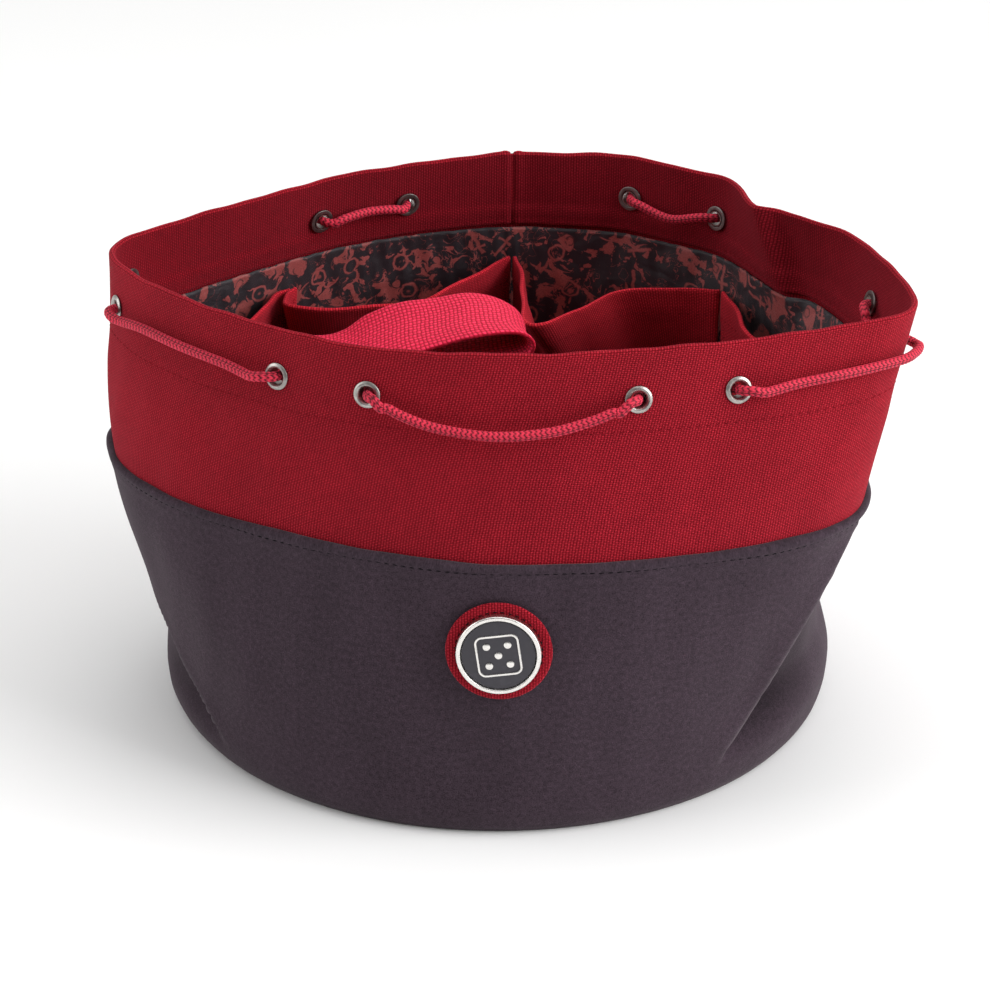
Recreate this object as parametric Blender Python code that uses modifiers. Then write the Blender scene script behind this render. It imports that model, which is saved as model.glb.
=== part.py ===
"""Drawstring dice bag, standing open.

A round floor (suede panel, stiffening board, lining) carries a soft wall: a microsuede band below,
red canvas above that folds over the rim to a facing, and a thin lining inside. Eight pocket panels
are sewn to the lining. Twelve eyelets in the mouth carry one braided drawstring, whose two ends
leave at the back through a spring cord lock. A doubled webbing strap lies in the mouth, and a
round badge sits on the front of the band.

Frame: origin at the centre of the floor, +Z up, front of the bag towards -Y. Metres.
"""
import math

import bmesh
import bpy
import numpy as np
from mathutils import Matrix, Vector

# ---------------------------------------------------------------- driving dimensions
FLOOR_RADIUS = 0.115          # nine-inch floor
RIM_HEIGHT = 0.166            # folded top edge of the canvas
BAND_TOP = 0.098              # top edge of the suede band
FACING_DEPTH = 0.028          # canvas turned to the inside
EYELET_DROP = 0.0155          # eyelet centres below the rim
GIRTH = 0.720                 # nominal length of cloth round the bag

CANVAS = 0.0009
SUEDE = 0.0012
LINING = 0.0005
GAP = 0.0003                  # between pieces that touch

CORD_DIAMETER = 0.0033
EYELET_BORE = 0.0049
EYELET_FLANGE = 0.0089
STRAP_WIDTH = 0.038
STRAP_THICKNESS = 0.0018
POCKET_COUNT = 8
POCKET_HEIGHT = 0.126

# ---------------------------------------------------------------- worked-out dimensions
EYELET_HEIGHT = RIM_HEIGHT - EYELET_DROP
FACING_EDGE = RIM_HEIGHT - FACING_DEPTH
CANVAS_FOOT = BAND_TOP - 0.012
FACING_FACE = 2 * CANVAS + GAP          # depth of the facing's inner face behind the wall surface
LINING_FACE = CANVAS + GAP + LINING
POCKET_PITCH = GIRTH / POCKET_COUNT

WALL_COLUMNS = 64
WALL_ROWS = (0.0035, 0.012, 0.028, 0.048, CANVAS_FOOT, BAND_TOP, FACING_EDGE)
SPLINE_STEPS = 24

# Arc positions of the twelve eyelets, from the back seam over the left side to the front and on.
EYELET_ARCS = (0.041, 0.077, 0.165, 0.193, 0.276, 0.309, 0.396, 0.429, 0.507, 0.537, 0.636, 0.674)

# Plan outlines of the wall, from the back seam over the left side, front and right side.
BAND_OUTLINE = (
    (0.005, 0.092), (-0.030, 0.087), (-0.060, 0.074), (-0.085, 0.055), (-0.106, 0.034),
    (-0.123, 0.011), (-0.1315, -0.008), (-0.131, -0.026), (-0.124, -0.045), (-0.105, -0.067),
    (-0.080, -0.0855), (-0.054, -0.100), (-0.031, -0.1085), (0.000, -0.115), (0.032, -0.1135),
    (0.058, -0.109), (0.084, -0.1015), (0.104, -0.091), (0.116, -0.077), (0.121, -0.060),
    (0.121, -0.038), (0.116, -0.012), (0.109, 0.012), (0.098, 0.034), (0.083, 0.054),
    (0.063, 0.072), (0.036, 0.086),
)
RIM_OUTLINE = (
    (0.005, 0.086), (-0.021, 0.078), (-0.042, 0.069), (-0.063, 0.056), (-0.083, 0.039),
    (-0.103, 0.022), (-0.121, 0.006), (-0.130, -0.008), (-0.129, -0.021), (-0.121, -0.035),
    (-0.110, -0.049), (-0.096, -0.063), (-0.082, -0.074), (-0.069, -0.083), (-0.053, -0.093),
    (-0.031, -0.100), (0.001, -0.104), (0.032, -0.102), (0.063, -0.096), (0.095, -0.086),
    (0.112, -0.079), (0.127, -0.072), (0.1355, -0.061), (0.134, -0.040), (0.129, -0.020),
    (0.123, -0.003), (0.114, 0.009), (0.104, 0.017), (0.095, 0.025), (0.089, 0.039),
    (0.084, 0.055), (0.076, 0.064), (0.065, 0.070), (0.055, 0.077), (0.044, 0.083),
    (0.023, 0.085),
)

# Folds low on the two sides: a ridge as (arc, height) points going up, the side the cloth falls in
# on, the heights between which it falls in, and how far.
FOLDS = (
    (((0.4360, 0.004), (0.4428, 0.0166), (0.4589, 0.0403), (0.4677, 0.0556), (0.4790, 0.0750),
      (0.4930, 0.0980)), 1.0, (0.004, 0.026, 0.070, 0.088), 0.0122),
    (((0.2640, 0.010), (0.2516, 0.0213), (0.2394, 0.0293), (0.2252, 0.0397), (0.2050, 0.0540)),
     -1.0, (0.006, 0.022, 0.036, 0.058), 0.0050),
)
FOLD_EDGE, FOLD_REACH = 0.004, 0.058
# Broad hollows of the wall: arc, height, their half widths and depth.
DENTS = ((0.545, 0.037, 0.042, 0.015, 0.0052), (0.197, 0.052, 0.050, 0.030, 0.0026),
         (0.225, 0.013, 0.034, 0.010, -0.0018))

# Hems of the pocket panels in plan, between the seams that hold their ends, from the back seam on.
POCKET_HEMS = (
    ((-0.008, 0.066), (-0.024, 0.043), (-0.039, 0.035), (-0.058, 0.033), (-0.0745, 0.035),
     (-0.0755, 0.045)),
    ((-0.0795, 0.046), (-0.0825, 0.036), (-0.086, 0.022), (-0.092, 0.009), (-0.107, -0.004)),
    ((-0.109, -0.013), (-0.088, 0.001), (-0.070, 0.007), (-0.054, 0.006), (-0.048, -0.010),
     (-0.060, -0.045)),
    ((-0.055, -0.047), (-0.042, -0.018), (-0.030, -0.012), (-0.012, -0.014), (-0.005, -0.028),
     (-0.003, -0.070)),
    ((0.005, -0.070), (0.006, -0.028), (0.014, -0.013), (0.035, -0.007), (0.052, -0.006),
     (0.064, -0.016), (0.078, -0.060)),
    ((0.085, -0.058), (0.071, -0.016), (0.080, -0.005), (0.098, -0.010)),
    ((0.102, -0.004), (0.090, 0.003), (0.086, 0.016), (0.084, 0.034)),
    ((0.078, 0.050), (0.064, 0.052), (0.042, 0.048), (0.028, 0.031), (0.016, 0.019),
     (0.009, 0.024), (0.009, 0.060)),
)

# A cord's way through an eyelet from outside to inside: (along its way, out of the wall).
PASS = ((-0.0115, 0.0036), (-0.0070, 0.0046), (-0.0032, 0.0042), (-0.0009, 0.0022), (0.0, -0.0010),
        (0.0009, -0.0042), (0.0032, -0.0064), (0.0070, -0.0070))
FRONT_ENDS = ((0.3162, 0.1485, 0.0045), (0.3888, 0.1485, 0.0045))    # where the front run takes over
END_GAP, END_LEAD = 0.0004, 0.0010    # between the runs there, and the straight bit of each

# What lies between the eyelets of each half of the drawstring, as (arc, height, out of the wall).
LEFT_RUNS = (
    ((0.2925, 0.1490, -0.0064),),
    ((0.256, 0.1512, 0.0028), (0.236, 0.1518, 0.0026), (0.216, 0.1518, 0.0026)),
    ((0.180, 0.1490, -0.0068),),
    ((0.148, 0.1474, 0.0030), (0.122, 0.1460, 0.0027), (0.096, 0.1478, 0.0030)),
    ((0.059, 0.1512, -0.0064),),
)
RIGHT_RUNS = (
    ((0.4125, 0.1490, -0.0064),),
    ((0.449, 0.1512, 0.0028), (0.468, 0.1516, 0.0026), (0.487, 0.1512, 0.0026)),
    ((0.516, 0.1465, -0.0066), (0.528, 0.1475, -0.0062)),
    ((0.565, 0.1474, 0.0050), (0.589, 0.1458, 0.0130), (0.613, 0.1472, 0.0055)),
    ((0.655, 0.1478, -0.0064),),
)
FRONT_RUN = ((0.3235, 0.1461, 0.0041), (0.3350, 0.1433, 0.0042), (0.3525, 0.1420, 0.0048),
             (0.3690, 0.1431, 0.0044), (0.3815, 0.1461, 0.0041))

# The two ends hang side by side at the back; arc is measured from the back seam on each side.
TAIL = ((0.0260, 0.1430, 0.0034), (0.0185, 0.1350, 0.0036), (0.0105, 0.1270, 0.0060),
        (0.0040, 0.1225, 0.0090), (0.0018, 0.1180, 0.00973), (0.0018, 0.1060, 0.01058),
        (0.0018, 0.0940, 0.01067), (0.0018, 0.0820, 0.01005), (0.0019, 0.0720, 0.00915),
        (0.0040, 0.0610, 0.0075), (0.0054, 0.0530, 0.0068))
LOCK_HEIGHT = 0.106
LOCK_LINE = ((0.0, 0.118, 0.0097), (0.0, 0.078, 0.0097))    # the lock slides along this
KNOT_RADIUS = 0.0042

# The strap: its way in plan from the left wall, then (along, height) out, round and back.
STRAP_ROOT = (-0.1235, -0.0150)
STRAP_WAY = (0.990, -0.139)
STRAP_HEIGHT = 0.1300
STRAP_PATH = ((0.0060, 0.1316), (0.020, 0.1318), (0.040, 0.1316), (0.062, 0.1316), (0.076, 0.1360),
              (0.091, 0.1455), (0.105, 0.1508), (0.119, 0.1508), (0.131, 0.1462), (0.1365, 0.1390),
              (0.1350, 0.1325), (0.1280, 0.1294), (0.110, 0.1286), (0.085, 0.1284), (0.060, 0.1284),
              (0.040, 0.1284), (0.020, 0.1283), (0.0060, 0.1284))

BADGE_ARC = 0.3655
BADGE_HEIGHT = 0.070
BADGE_PATCH = 0.0345
BADGE_METAL = 0.0275


# ---------------------------------------------------------------- scene and materials
for old in list(bpy.data.objects):
    bpy.data.objects.remove(old)

bag = bpy.data.collections.new("dice_bag")
cutters = bpy.data.collections.new("cutters")
bpy.context.scene.collection.children.link(bag)
bpy.context.scene.collection.children.link(cutters)


def material(name, colour, roughness, metallic=0.0):
    made = bpy.data.materials.new(name)
    made.use_nodes = True
    shader = made.node_tree.nodes["Principled BSDF"]
    shader.inputs["Base Color"].default_value = (*colour, 1.0)
    shader.inputs["Roughness"].default_value = roughness
    shader.inputs["Metallic"].default_value = metallic
    return made


RED_CANVAS = material("red_canvas", (0.33, 0.012, 0.022), 0.9)
DARK_SUEDE = material("dark_suede", (0.055, 0.043, 0.055), 0.95)
PRINTED_LINING = material("printed_lining", (0.028, 0.026, 0.036), 0.45)
GREY_BOARD = material("grey_board", (0.32, 0.30, 0.27), 0.9)
RED_CORD = material("red_cord", (0.50, 0.025, 0.055), 0.7)
RED_WEBBING = material("red_webbing", (0.60, 0.022, 0.060), 0.75)
ANTIQUE_NICKEL = material("antique_nickel", (0.30, 0.28, 0.27), 0.32, 1.0)
BRIGHT_NICKEL = material("bright_nickel", (0.72, 0.70, 0.67), 0.25, 1.0)
DARK_ENAMEL = material("dark_enamel", (0.030, 0.030, 0.040), 0.35)
BLACK_PLASTIC = material("black_plastic", (0.020, 0.020, 0.022), 0.45)
SPRING_STEEL = material("spring_steel", (0.55, 0.55, 0.56), 0.3, 1.0)


def finish(thing, made):
    thing.data.materials.append(made)
    bag.objects.link(thing)
    if thing.type == "MESH":
        thing.data.shade_smooth()
        thing.data.set_sharp_from_angle(angle=math.radians(40))
    return thing


# ---------------------------------------------------------------- the shape of the wall
def closed_spline(points, count):
    """Even stations on a smooth closed curve through the points, from the first point on."""
    knots = np.array(points, dtype=float)
    curve = []
    for a, b, c, d in zip(np.roll(knots, 1, 0), knots, np.roll(knots, -1, 0), np.roll(knots, -2, 0)):
        for t in np.arange(SPLINE_STEPS) / SPLINE_STEPS:
            curve.append(0.5 * (2 * b + (c - a) * t + (2 * a - 5 * b + 4 * c - d) * t ** 2
                                + (3 * b - a - 3 * c + d) * t ** 3))
    curve = np.array(curve + curve[:1])
    run = np.concatenate([[0.0], np.cumsum(np.linalg.norm(np.diff(curve, axis=0), axis=1))])
    stations = np.linspace(0.0, run[-1], count, endpoint=False)
    return np.column_stack([np.interp(stations, run, curve[:, axis]) for axis in (0, 1)])


def smooth_route(points, spacing):
    """A smooth curve through every point of a route, with more points on its long stretches."""
    knots = np.array(points, dtype=float)
    padded = np.vstack([2 * knots[0] - knots[1], knots, 2 * knots[-1] - knots[-2]])
    curve = []
    for a, b, c, d in zip(padded, padded[1:], padded[2:], padded[3:]):
        steps = max(1, round(float(np.linalg.norm(c - b)) / spacing))
        for t in np.arange(steps) / steps:
            curve.append(0.5 * (2 * b + (c - a) * t + (2 * a - 5 * b + 4 * c - d) * t ** 2
                                + (3 * b - a - 3 * c + d) * t ** 3))
    return np.array([*curve, knots[-1]])


def open_spline(points, count):
    """Even stations on a smooth open curve through the points, both ends included."""
    curve = smooth_route(points, 0.0005)
    run = np.concatenate([[0.0], np.cumsum(np.linalg.norm(np.diff(curve, axis=0), axis=1))])
    stations = np.linspace(0.0, run[-1], count)
    return np.column_stack([np.interp(stations, run, line) for line in curve.T])


def round_outline(radius, count):
    """A circle that starts at the back seam and runs the same way as the outlines."""
    start = math.radians(87.5)
    return np.array([(radius * math.cos(start + 2 * math.pi * i / count),
                      radius * math.sin(start + 2 * math.pi * i / count)) for i in range(count)])


STATIONS = 720
LEVEL_HEIGHTS = np.array([0.0, 0.0035, 0.012, BAND_TOP, RIM_HEIGHT])
LEVEL_OUTLINES = (
    round_outline(FLOOR_RADIUS - 0.0025, STATIONS),
    round_outline(FLOOR_RADIUS, STATIONS),
    round_outline(FLOOR_RADIUS + 0.0020, STATIONS),
    closed_spline(BAND_OUTLINE, STATIONS),
    closed_spline(RIM_OUTLINE, STATIONS),
)


def outline_point(level, arc):
    place = (arc / GIRTH % 1.0) * STATIONS
    low = int(place) % STATIONS
    share = place - int(place)
    points = LEVEL_OUTLINES[level]
    return points[low] * (1 - share) + points[(low + 1) % STATIONS] * share


def surface_point(arc, height):
    """The wall's smooth surface without its creases: a cubic through the level outlines."""
    last = len(LEVEL_HEIGHTS) - 1
    part = int(np.clip(np.searchsorted(LEVEL_HEIGHTS, height) - 1, 0, last - 1))
    knots = [outline_point(level, arc) for level in range(last + 1)]

    def slope(i):
        low, high = max(i - 1, 0), min(i + 1, last)
        return (knots[high] - knots[low]) / (LEVEL_HEIGHTS[high] - LEVEL_HEIGHTS[low])

    span = LEVEL_HEIGHTS[part + 1] - LEVEL_HEIGHTS[part]
    t = (height - LEVEL_HEIGHTS[part]) / span
    return ((2 * t ** 3 - 3 * t ** 2 + 1) * knots[part] + (t ** 3 - 2 * t ** 2 + t) * span * slope(part)
            + (3 * t ** 2 - 2 * t ** 3) * knots[part + 1] + (t ** 3 - t ** 2) * span * slope(part + 1))


def ramp(low, high, value):
    """A smooth step from 0 at low to 1 at high."""
    share = min(1.0, max(0.0, (value - low) / (high - low)))
    return share * share * (3 - 2 * share)


def crease_depth(arc, height):
    """How far the folds and hollows pull the wall inwards at this place."""
    depth = 0.0
    for ridge, side, (foot, low, high, top), most in FOLDS:
        arcs, heights = zip(*ridge)
        beyond = max(0.0, side * (arc - float(np.interp(height, heights, arcs))))
        strength = ramp(foot, low, height) * (1 - ramp(high, top, height))
        fall = (1 - math.exp(-beyond / FOLD_EDGE)) * math.exp(-(beyond / FOLD_REACH) ** 2)
        depth += most * strength * fall
    for middle, level, wide, high, most in DENTS:
        depth += most * math.exp(-((arc - middle) / wide) ** 2 - ((height - level) / high) ** 2)
    return depth * min(1.0, height / 0.012)


def outward(arc, height):
    """Horizontal unit normal of the wall, pointing out of the bag."""
    reach = 0.002
    run = surface_point(arc + reach, height) - surface_point(arc - reach, height)
    return np.array((run[1], -run[0])) / np.hypot(*run)


def on_wall(arc, height, out=0.0):
    """A point in space at this arc and height, standing out from the wall's surface."""
    flat = surface_point(arc, height) + outward(arc, height) * (out - crease_depth(arc, height))
    return Vector((flat[0], flat[1], height))


def wall_frame(arc, height, out=0.0):
    """A frame on the wall: local +Z square out of the cloth, local +X level along it."""
    reach = 0.004
    along = on_wall(arc - reach, height) - on_wall(arc + reach, height)
    up = on_wall(arc, height + reach) - on_wall(arc, height - reach)
    normal = up.cross(along).normalized()
    along.normalize()
    turn = Matrix((along, normal.cross(along), normal)).transposed()
    return Matrix.Translation(on_wall(arc, height) + normal * out) @ turn.to_4x4()


# ---------------------------------------------------------------- builders
def sheet(name, rows, thickness, made, closed=False):
    """Cloth: an open surface through rows of points, given its thickness by Solidify."""
    mesh = bpy.data.meshes.new(name)
    build = bmesh.new()
    grid = [[build.verts.new(point) for point in row] for row in rows]
    columns = len(rows[0])
    for lower, upper in zip(grid, grid[1:]):
        for i in range(columns if closed else columns - 1):
            j = (i + 1) % columns
            build.faces.new((lower[i], upper[i], upper[j], lower[j]))
    build.normal_update()
    build.to_mesh(mesh)
    build.free()
    thing = bpy.data.objects.new(name, mesh)
    solid = thing.modifiers.new("thickness", "SOLIDIFY")
    solid.thickness = thickness
    solid.offset = 0.0
    return finish(thing, made)


def turned(name, profile, made, steps=10):
    """A turned piece: (radius, height) points round local Z, a closed ring unless they start on it."""
    mesh = bpy.data.meshes.new(name)
    edges = [(i, i + 1) for i in range(len(profile) - 1)]
    if profile[0][0] > 0.0:
        edges.append((len(profile) - 1, 0))
    mesh.from_pydata([(radius, 0.0, height) for radius, height in profile], edges, [])
    thing = bpy.data.objects.new(name, mesh)
    screw = thing.modifiers.new("turn", "SCREW")
    screw.steps = screw.render_steps = steps
    screw.use_merge_vertices = True
    screw.merge_threshold = 0.00001
    return finish(thing, made)


def disc(name, radius, bottom, top, made, sides=60):
    """A flat round plate standing level."""
    mesh = bpy.data.meshes.new(name)
    build = bmesh.new()
    bmesh.ops.create_cone(build, cap_ends=True, segments=sides, radius1=radius, radius2=radius,
                          depth=top - bottom, matrix=Matrix.Translation((0, 0, (top + bottom) / 2)))
    build.to_mesh(mesh)
    build.free()
    return finish(bpy.data.objects.new(name, mesh), made)


def cord(name, route, made=RED_CORD, diameter=CORD_DIAMETER):
    """A round cord along the smooth curve through its route's points."""
    data = bpy.data.curves.new(name, "CURVE")
    data.dimensions = "3D"
    data.bevel_depth = diameter / 2
    data.bevel_resolution = 2
    data.use_fill_caps = True
    line = data.splines.new("POLY")
    points = smooth_route(route, 3 * CORD_DIAMETER)
    line.points.add(len(points) - 1)
    for knot, point in zip(line.points, points):
        knot.co = (*point, 1.0)
    return finish(bpy.data.objects.new(name, data), made)


def cut(thing, cutter_meshes, name):
    """Subtracts one cutter object, made of separate closed meshes, from a thing."""
    tool = bpy.data.objects.new(name, cutter_meshes)
    tool.hide_render = True
    tool.display_type = "WIRE"
    cutters.objects.link(tool)
    away = thing.modifiers.new(name, "BOOLEAN")
    away.operation = "DIFFERENCE"
    away.solver = "EXACT"
    away.object = tool
    away.use_self = True
    return tool


# ---------------------------------------------------------------- floor
def make_floor():
    disc("base_panel", FLOOR_RADIUS - 0.0030, 0.0, SUEDE, DARK_SUEDE)
    disc("base_board", FLOOR_RADIUS - 0.0060, SUEDE + GAP, SUEDE + GAP + 0.0018, GREY_BOARD)
    bottom = SUEDE + 2 * GAP + 0.0018
    disc("lining_base", FLOOR_RADIUS - 0.0045, bottom, bottom + LINING, PRINTED_LINING)


# ---------------------------------------------------------------- wall
def ring_row(height, out):
    return [on_wall(GIRTH * i / WALL_COLUMNS, height, out) for i in range(WALL_COLUMNS)]


def levels(low, high):
    """The heights of a wall sheet's rows; all sheets share the ones between their edges."""
    return [low, *(z for z in WALL_ROWS if low + 0.002 < z < high - 0.002), high]


def make_wall():
    suede_out, lining_out = GAP + SUEDE / 2, -LINING_FACE + LINING / 2
    sheet("suede_band", [ring_row(z, suede_out) for z in levels(0.0004, BAND_TOP)],
          SUEDE, DARK_SUEDE, True)
    sheet("lining_wall", [ring_row(z, lining_out) for z in levels(0.0046, FACING_EDGE - 0.0004)],
          LINING, PRINTED_LINING, True)

    fold = (CANVAS + GAP) / 2
    outer, facing = -CANVAS / 2, -CANVAS / 2 - 2 * fold
    rows = [ring_row(z, outer) for z in (*levels(CANVAS_FOOT, FACING_EDGE), 0.153)]
    crown = RIM_HEIGHT - CANVAS / 2 - fold
    for turn in (0, 60, 120, 180):
        angle = math.radians(turn)
        rows.append(ring_row(crown + fold * math.sin(angle), outer - fold + fold * math.cos(angle)))
    rows += [ring_row(z, facing) for z in (0.153, FACING_EDGE)]
    canvas = sheet("canvas_upper", rows, CANVAS, RED_CANVAS, True)

    holes = bmesh.new()
    for arc in EYELET_ARCS:
        bmesh.ops.create_cone(holes, cap_ends=True, segments=10, radius1=EYELET_BORE / 2 + 0.0007,
                              radius2=EYELET_BORE / 2 + 0.0007, depth=0.010,
                              matrix=wall_frame(arc, EYELET_HEIGHT, -FACING_FACE / 2))
    mesh = bpy.data.meshes.new("eyelet_holes")
    holes.to_mesh(mesh)
    holes.free()
    cut(canvas, mesh, "eyelet_holes")


# ---------------------------------------------------------------- eyelets
def make_eyelets():
    bore = EYELET_BORE / 2
    barrel = bore + 0.00035
    flange = EYELET_FLANGE / 2
    inner_end = -FACING_FACE - 0.0015
    eyelet = ((bore, 0.0004), (bore + 0.0006, 0.0010), (flange, 0.00085), (flange, 0.00035),
              (barrel, 0.00035), (barrel, inner_end), (bore, inner_end))
    top = -FACING_FACE - 0.0008
    washer = ((barrel + GAP, top), (flange, top), (flange, top - 0.0005), (barrel + GAP, top - 0.0005))
    for number, arc in enumerate(EYELET_ARCS, start=1):
        frame = wall_frame(arc, EYELET_HEIGHT)
        turned(f"eyelet_{number:02d}", eyelet, ANTIQUE_NICKEL).matrix_world = frame
        turned(f"eyelet_washer_{number:02d}", washer, ANTIQUE_NICKEL).matrix_world = frame


# ---------------------------------------------------------------- pockets
def make_pockets():
    columns = 11
    foot, clear = 0.0075, 0.0026
    for number, hem in enumerate(POCKET_HEMS, start=1):
        first = (number - 1) * POCKET_PITCH + 0.0012
        last = number * POCKET_PITCH - 0.0012
        sewn = -LINING_FACE - clear
        ends = [on_wall(arc, POCKET_HEIGHT, sewn)[:2] for arc in (first, last)]
        mouth = open_spline([ends[0], *hem, ends[1]], columns)
        arcs = np.linspace(first, last, columns)
        panel = []
        for height in levels(foot, POCKET_HEIGHT):
            rise = (height - foot) / (POCKET_HEIGHT - foot)
            row = []
            for arc, point in zip(arcs, mouth):
                back = on_wall(arc, height, sewn)
                top = on_wall(arc, POCKET_HEIGHT, sewn)
                swing = Vector((point[0] - top.x, point[1] - top.y, 0.0))
                row.append(back + swing * rise ** 1.7)
            panel.append(row)
        sheet(f"pocket_panel_{number}", panel, CANVAS, RED_CANVAS)


# ---------------------------------------------------------------- drawstring
def through(arc, way, inward):
    """A cord's points through one eyelet, for a cord on its way up (1) or down (-1) the arcs."""
    frame = wall_frame(arc, EYELET_HEIGHT)
    steps = PASS if inward else [(-along, out) for along, out in reversed(PASS)]
    return [on_wall(arc + way * along, EYELET_HEIGHT, out) if abs(along) > 0.005
            else frame @ Vector((-way * along, 0.0, out)) for along, out in steps]


def threaded(first, eyelets, runs, way, tail):
    """The route of half the drawstring, from beside its front eyelet to its end at the back."""
    route = []
    inward = True
    for arc, run in zip(eyelets, (*runs, tail)):
        route += through(arc, way, inward)
        route += [on_wall(*place) for place in run]
        inward = not inward
    return [*first, *route[2:]]


def make_drawstring():
    start, end = (on_wall(*place) for place in FRONT_ENDS)
    across = (end - start).normalized()
    lead, gap = across * END_LEAD, across * END_GAP
    left = threaded((start, start - lead), EYELET_ARCS[5::-1], LEFT_RUNS, -1, TAIL)
    other_tail = [(GIRTH - arc, height, out) for arc, height, out in TAIL]
    right = threaded((end, end + lead), EYELET_ARCS[6:], RIGHT_RUNS, 1, other_tail)
    for name, points in (("left", left), ("right", right)):
        cord(f"drawstring_{name}", points)
        knot(f"drawstring_knot_{name}", points[-1], (points[-1] - points[-2]).normalized())
    middle = [on_wall(*place) for place in FRONT_RUN]
    cord("drawstring_front_run", [start + gap, start + gap + lead, *middle, end - gap - lead,
                                  end - gap])


def knot(name, end, way):
    """A pulled-tight knot at a cord's end, as one plain solid of its outer shape."""
    half = KNOT_RADIUS
    profile = [(half * math.sin(turn), 1.15 * half * math.cos(turn))
               for turn in np.linspace(0.0, math.pi, 7)]
    profile[0], profile[-1] = (0.0, 1.15 * half), (0.0, -1.15 * half)
    thing = turned(name, profile, RED_CORD, 10)
    centre = Vector(end) + way * (1.15 * half + GAP)
    thing.matrix_world = Matrix.Translation(centre) @ (-way).to_track_quat("Z", "Y").to_matrix().to_4x4()


# ---------------------------------------------------------------- cord lock
def lock_frame():
    """Local +Z up along the hanging cord ends, local +X along the wall, +Y away from it."""
    top, low = (on_wall(*place) for place in LOCK_LINE)
    up = (top - low).normalized()
    away = up.cross(Vector((1, 0, 0))).normalized()
    turn = Matrix((away.cross(up), away, up)).transposed()
    share = (LOCK_HEIGHT - low.z) / (top.z - low.z)
    return Matrix.Translation(low.lerp(top, share)) @ turn.to_4x4()


def barrel(mesh_name, radius, start, end, sides=20):
    """A round bar along local X, as a mesh."""
    mesh = bpy.data.meshes.new(mesh_name)
    build = bmesh.new()
    place = Matrix.Translation(((start + end) / 2, 0, 0)) @ Matrix.Rotation(math.radians(90), 4, "Y")
    bmesh.ops.create_cone(build, cap_ends=True, segments=sides, radius1=radius, radius2=radius,
                          depth=end - start, matrix=place)
    build.to_mesh(mesh)
    build.free()
    return mesh


def slot(mesh_name, start, end, half_width, reach):
    """A square-cornered bar along local Z, as a mesh."""
    mesh = bpy.data.meshes.new(mesh_name)
    build = bmesh.new()
    size = Matrix.Diagonal((end - start, 2 * half_width, 2 * reach, 1))
    bmesh.ops.create_cube(build, size=1.0, matrix=Matrix.Translation(((start + end) / 2, 0, 0)) @ size)
    build.to_mesh(mesh)
    build.free()
    return mesh


def make_cord_lock():
    place = lock_frame()
    radius, bore, button_radius = 0.0070, 0.0052, 0.0049
    left_end, right_end, bore_end = -0.0140, 0.0090, -0.0125
    press = 0.0035
    slot_half, slot_width = 0.0042, 0.0021

    body = finish(bpy.data.objects.new("cord_lock_body", barrel("cord_lock_body", radius, left_end,
                                                                right_end)), BLACK_PLASTIC)
    edges = body.modifiers.new("edges", "BEVEL")
    edges.width = 0.0010
    edges.segments = 2
    edges.limit_method = "ANGLE"
    tools = [cut(body, barrel("lock_bore", bore, bore_end, right_end + 0.002), "lock_bore"),
             cut(body, slot("lock_slot", -slot_half, slot_half, slot_width, 0.010), "lock_slot")]

    button = finish(bpy.data.objects.new("cord_lock_button", barrel("cord_lock_button", button_radius,
                                                                    -0.0055, 0.0145)), BLACK_PLASTIC)
    edges = button.modifiers.new("edges", "BEVEL")
    edges.width = 0.0007
    edges.segments = 2
    edges.limit_method = "ANGLE"
    tools.append(cut(button, slot("button_slot", -slot_half, slot_half + press, slot_width, 0.010),
                     "button_slot"))

    turns, steps, coil = 4, 10, 0.0034
    route = [Vector((-0.0119 + 0.0058 * i / (turns * steps), coil * math.cos(math.tau * i / steps),
                     coil * math.sin(math.tau * i / steps))) for i in range(turns * steps + 1)]
    spring = cord("cord_lock_spring", route, SPRING_STEEL, 0.0006)
    spring.data.bevel_resolution = 0
    for thing in (body, button, spring, *tools):
        thing.matrix_world = place


# ---------------------------------------------------------------- strap
def strap_place(along, across, height):
    way = np.array(STRAP_WAY) / np.hypot(*STRAP_WAY)
    flat = np.array(STRAP_ROOT) + way * along + np.array((-way[1], way[0])) * across
    return Vector((flat[0], flat[1], height))


def make_strap():
    half = STRAP_WIDTH / 2
    path = open_spline(STRAP_PATH, 30)
    sheet("strap_loop", [[strap_place(along, across, height) for across in (-half, half)]
                         for along, height in path], STRAP_THICKNESS, RED_WEBBING)

    data = bpy.data.curves.new("strap_root", "CURVE")
    data.dimensions = "2D"
    data.fill_mode = "BOTH"
    data.extrude = STRAP_THICKNESS
    edge = data.splines.new("POLY")
    inner = [on_wall(arc, STRAP_HEIGHT, -LINING_FACE - 0.0012) for arc in strap_arcs()]
    chord = [strap_place(0.0035, across, 0.0) for across in (-half, half)]
    outline = [*inner, *chord]
    edge.points.add(len(outline) - 1)
    for knot_point, point in zip(edge.points, outline):
        knot_point.co = (point[0], point[1], 0.0, 1.0)
    edge.use_cyclic_u = True
    root = finish(bpy.data.objects.new("strap_root", data), RED_WEBBING)
    root.location.z = STRAP_HEIGHT


def strap_arcs():
    """Arcs of the wall behind the strap's root, from its far side to its near side."""
    half = STRAP_WIDTH / 2
    way = np.array(STRAP_WAY) / np.hypot(*STRAP_WAY)
    side = np.array((-way[1], way[0]))
    arcs = []
    for arc in np.arange(0.120, 0.215, 0.0005):
        across = float(np.dot(np.array(on_wall(arc, STRAP_HEIGHT, -LINING_FACE)[:2]) - STRAP_ROOT, side))
        if abs(across) <= half:
            arcs.append(arc)
    return np.linspace(arcs[0], arcs[-1], 7)


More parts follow.
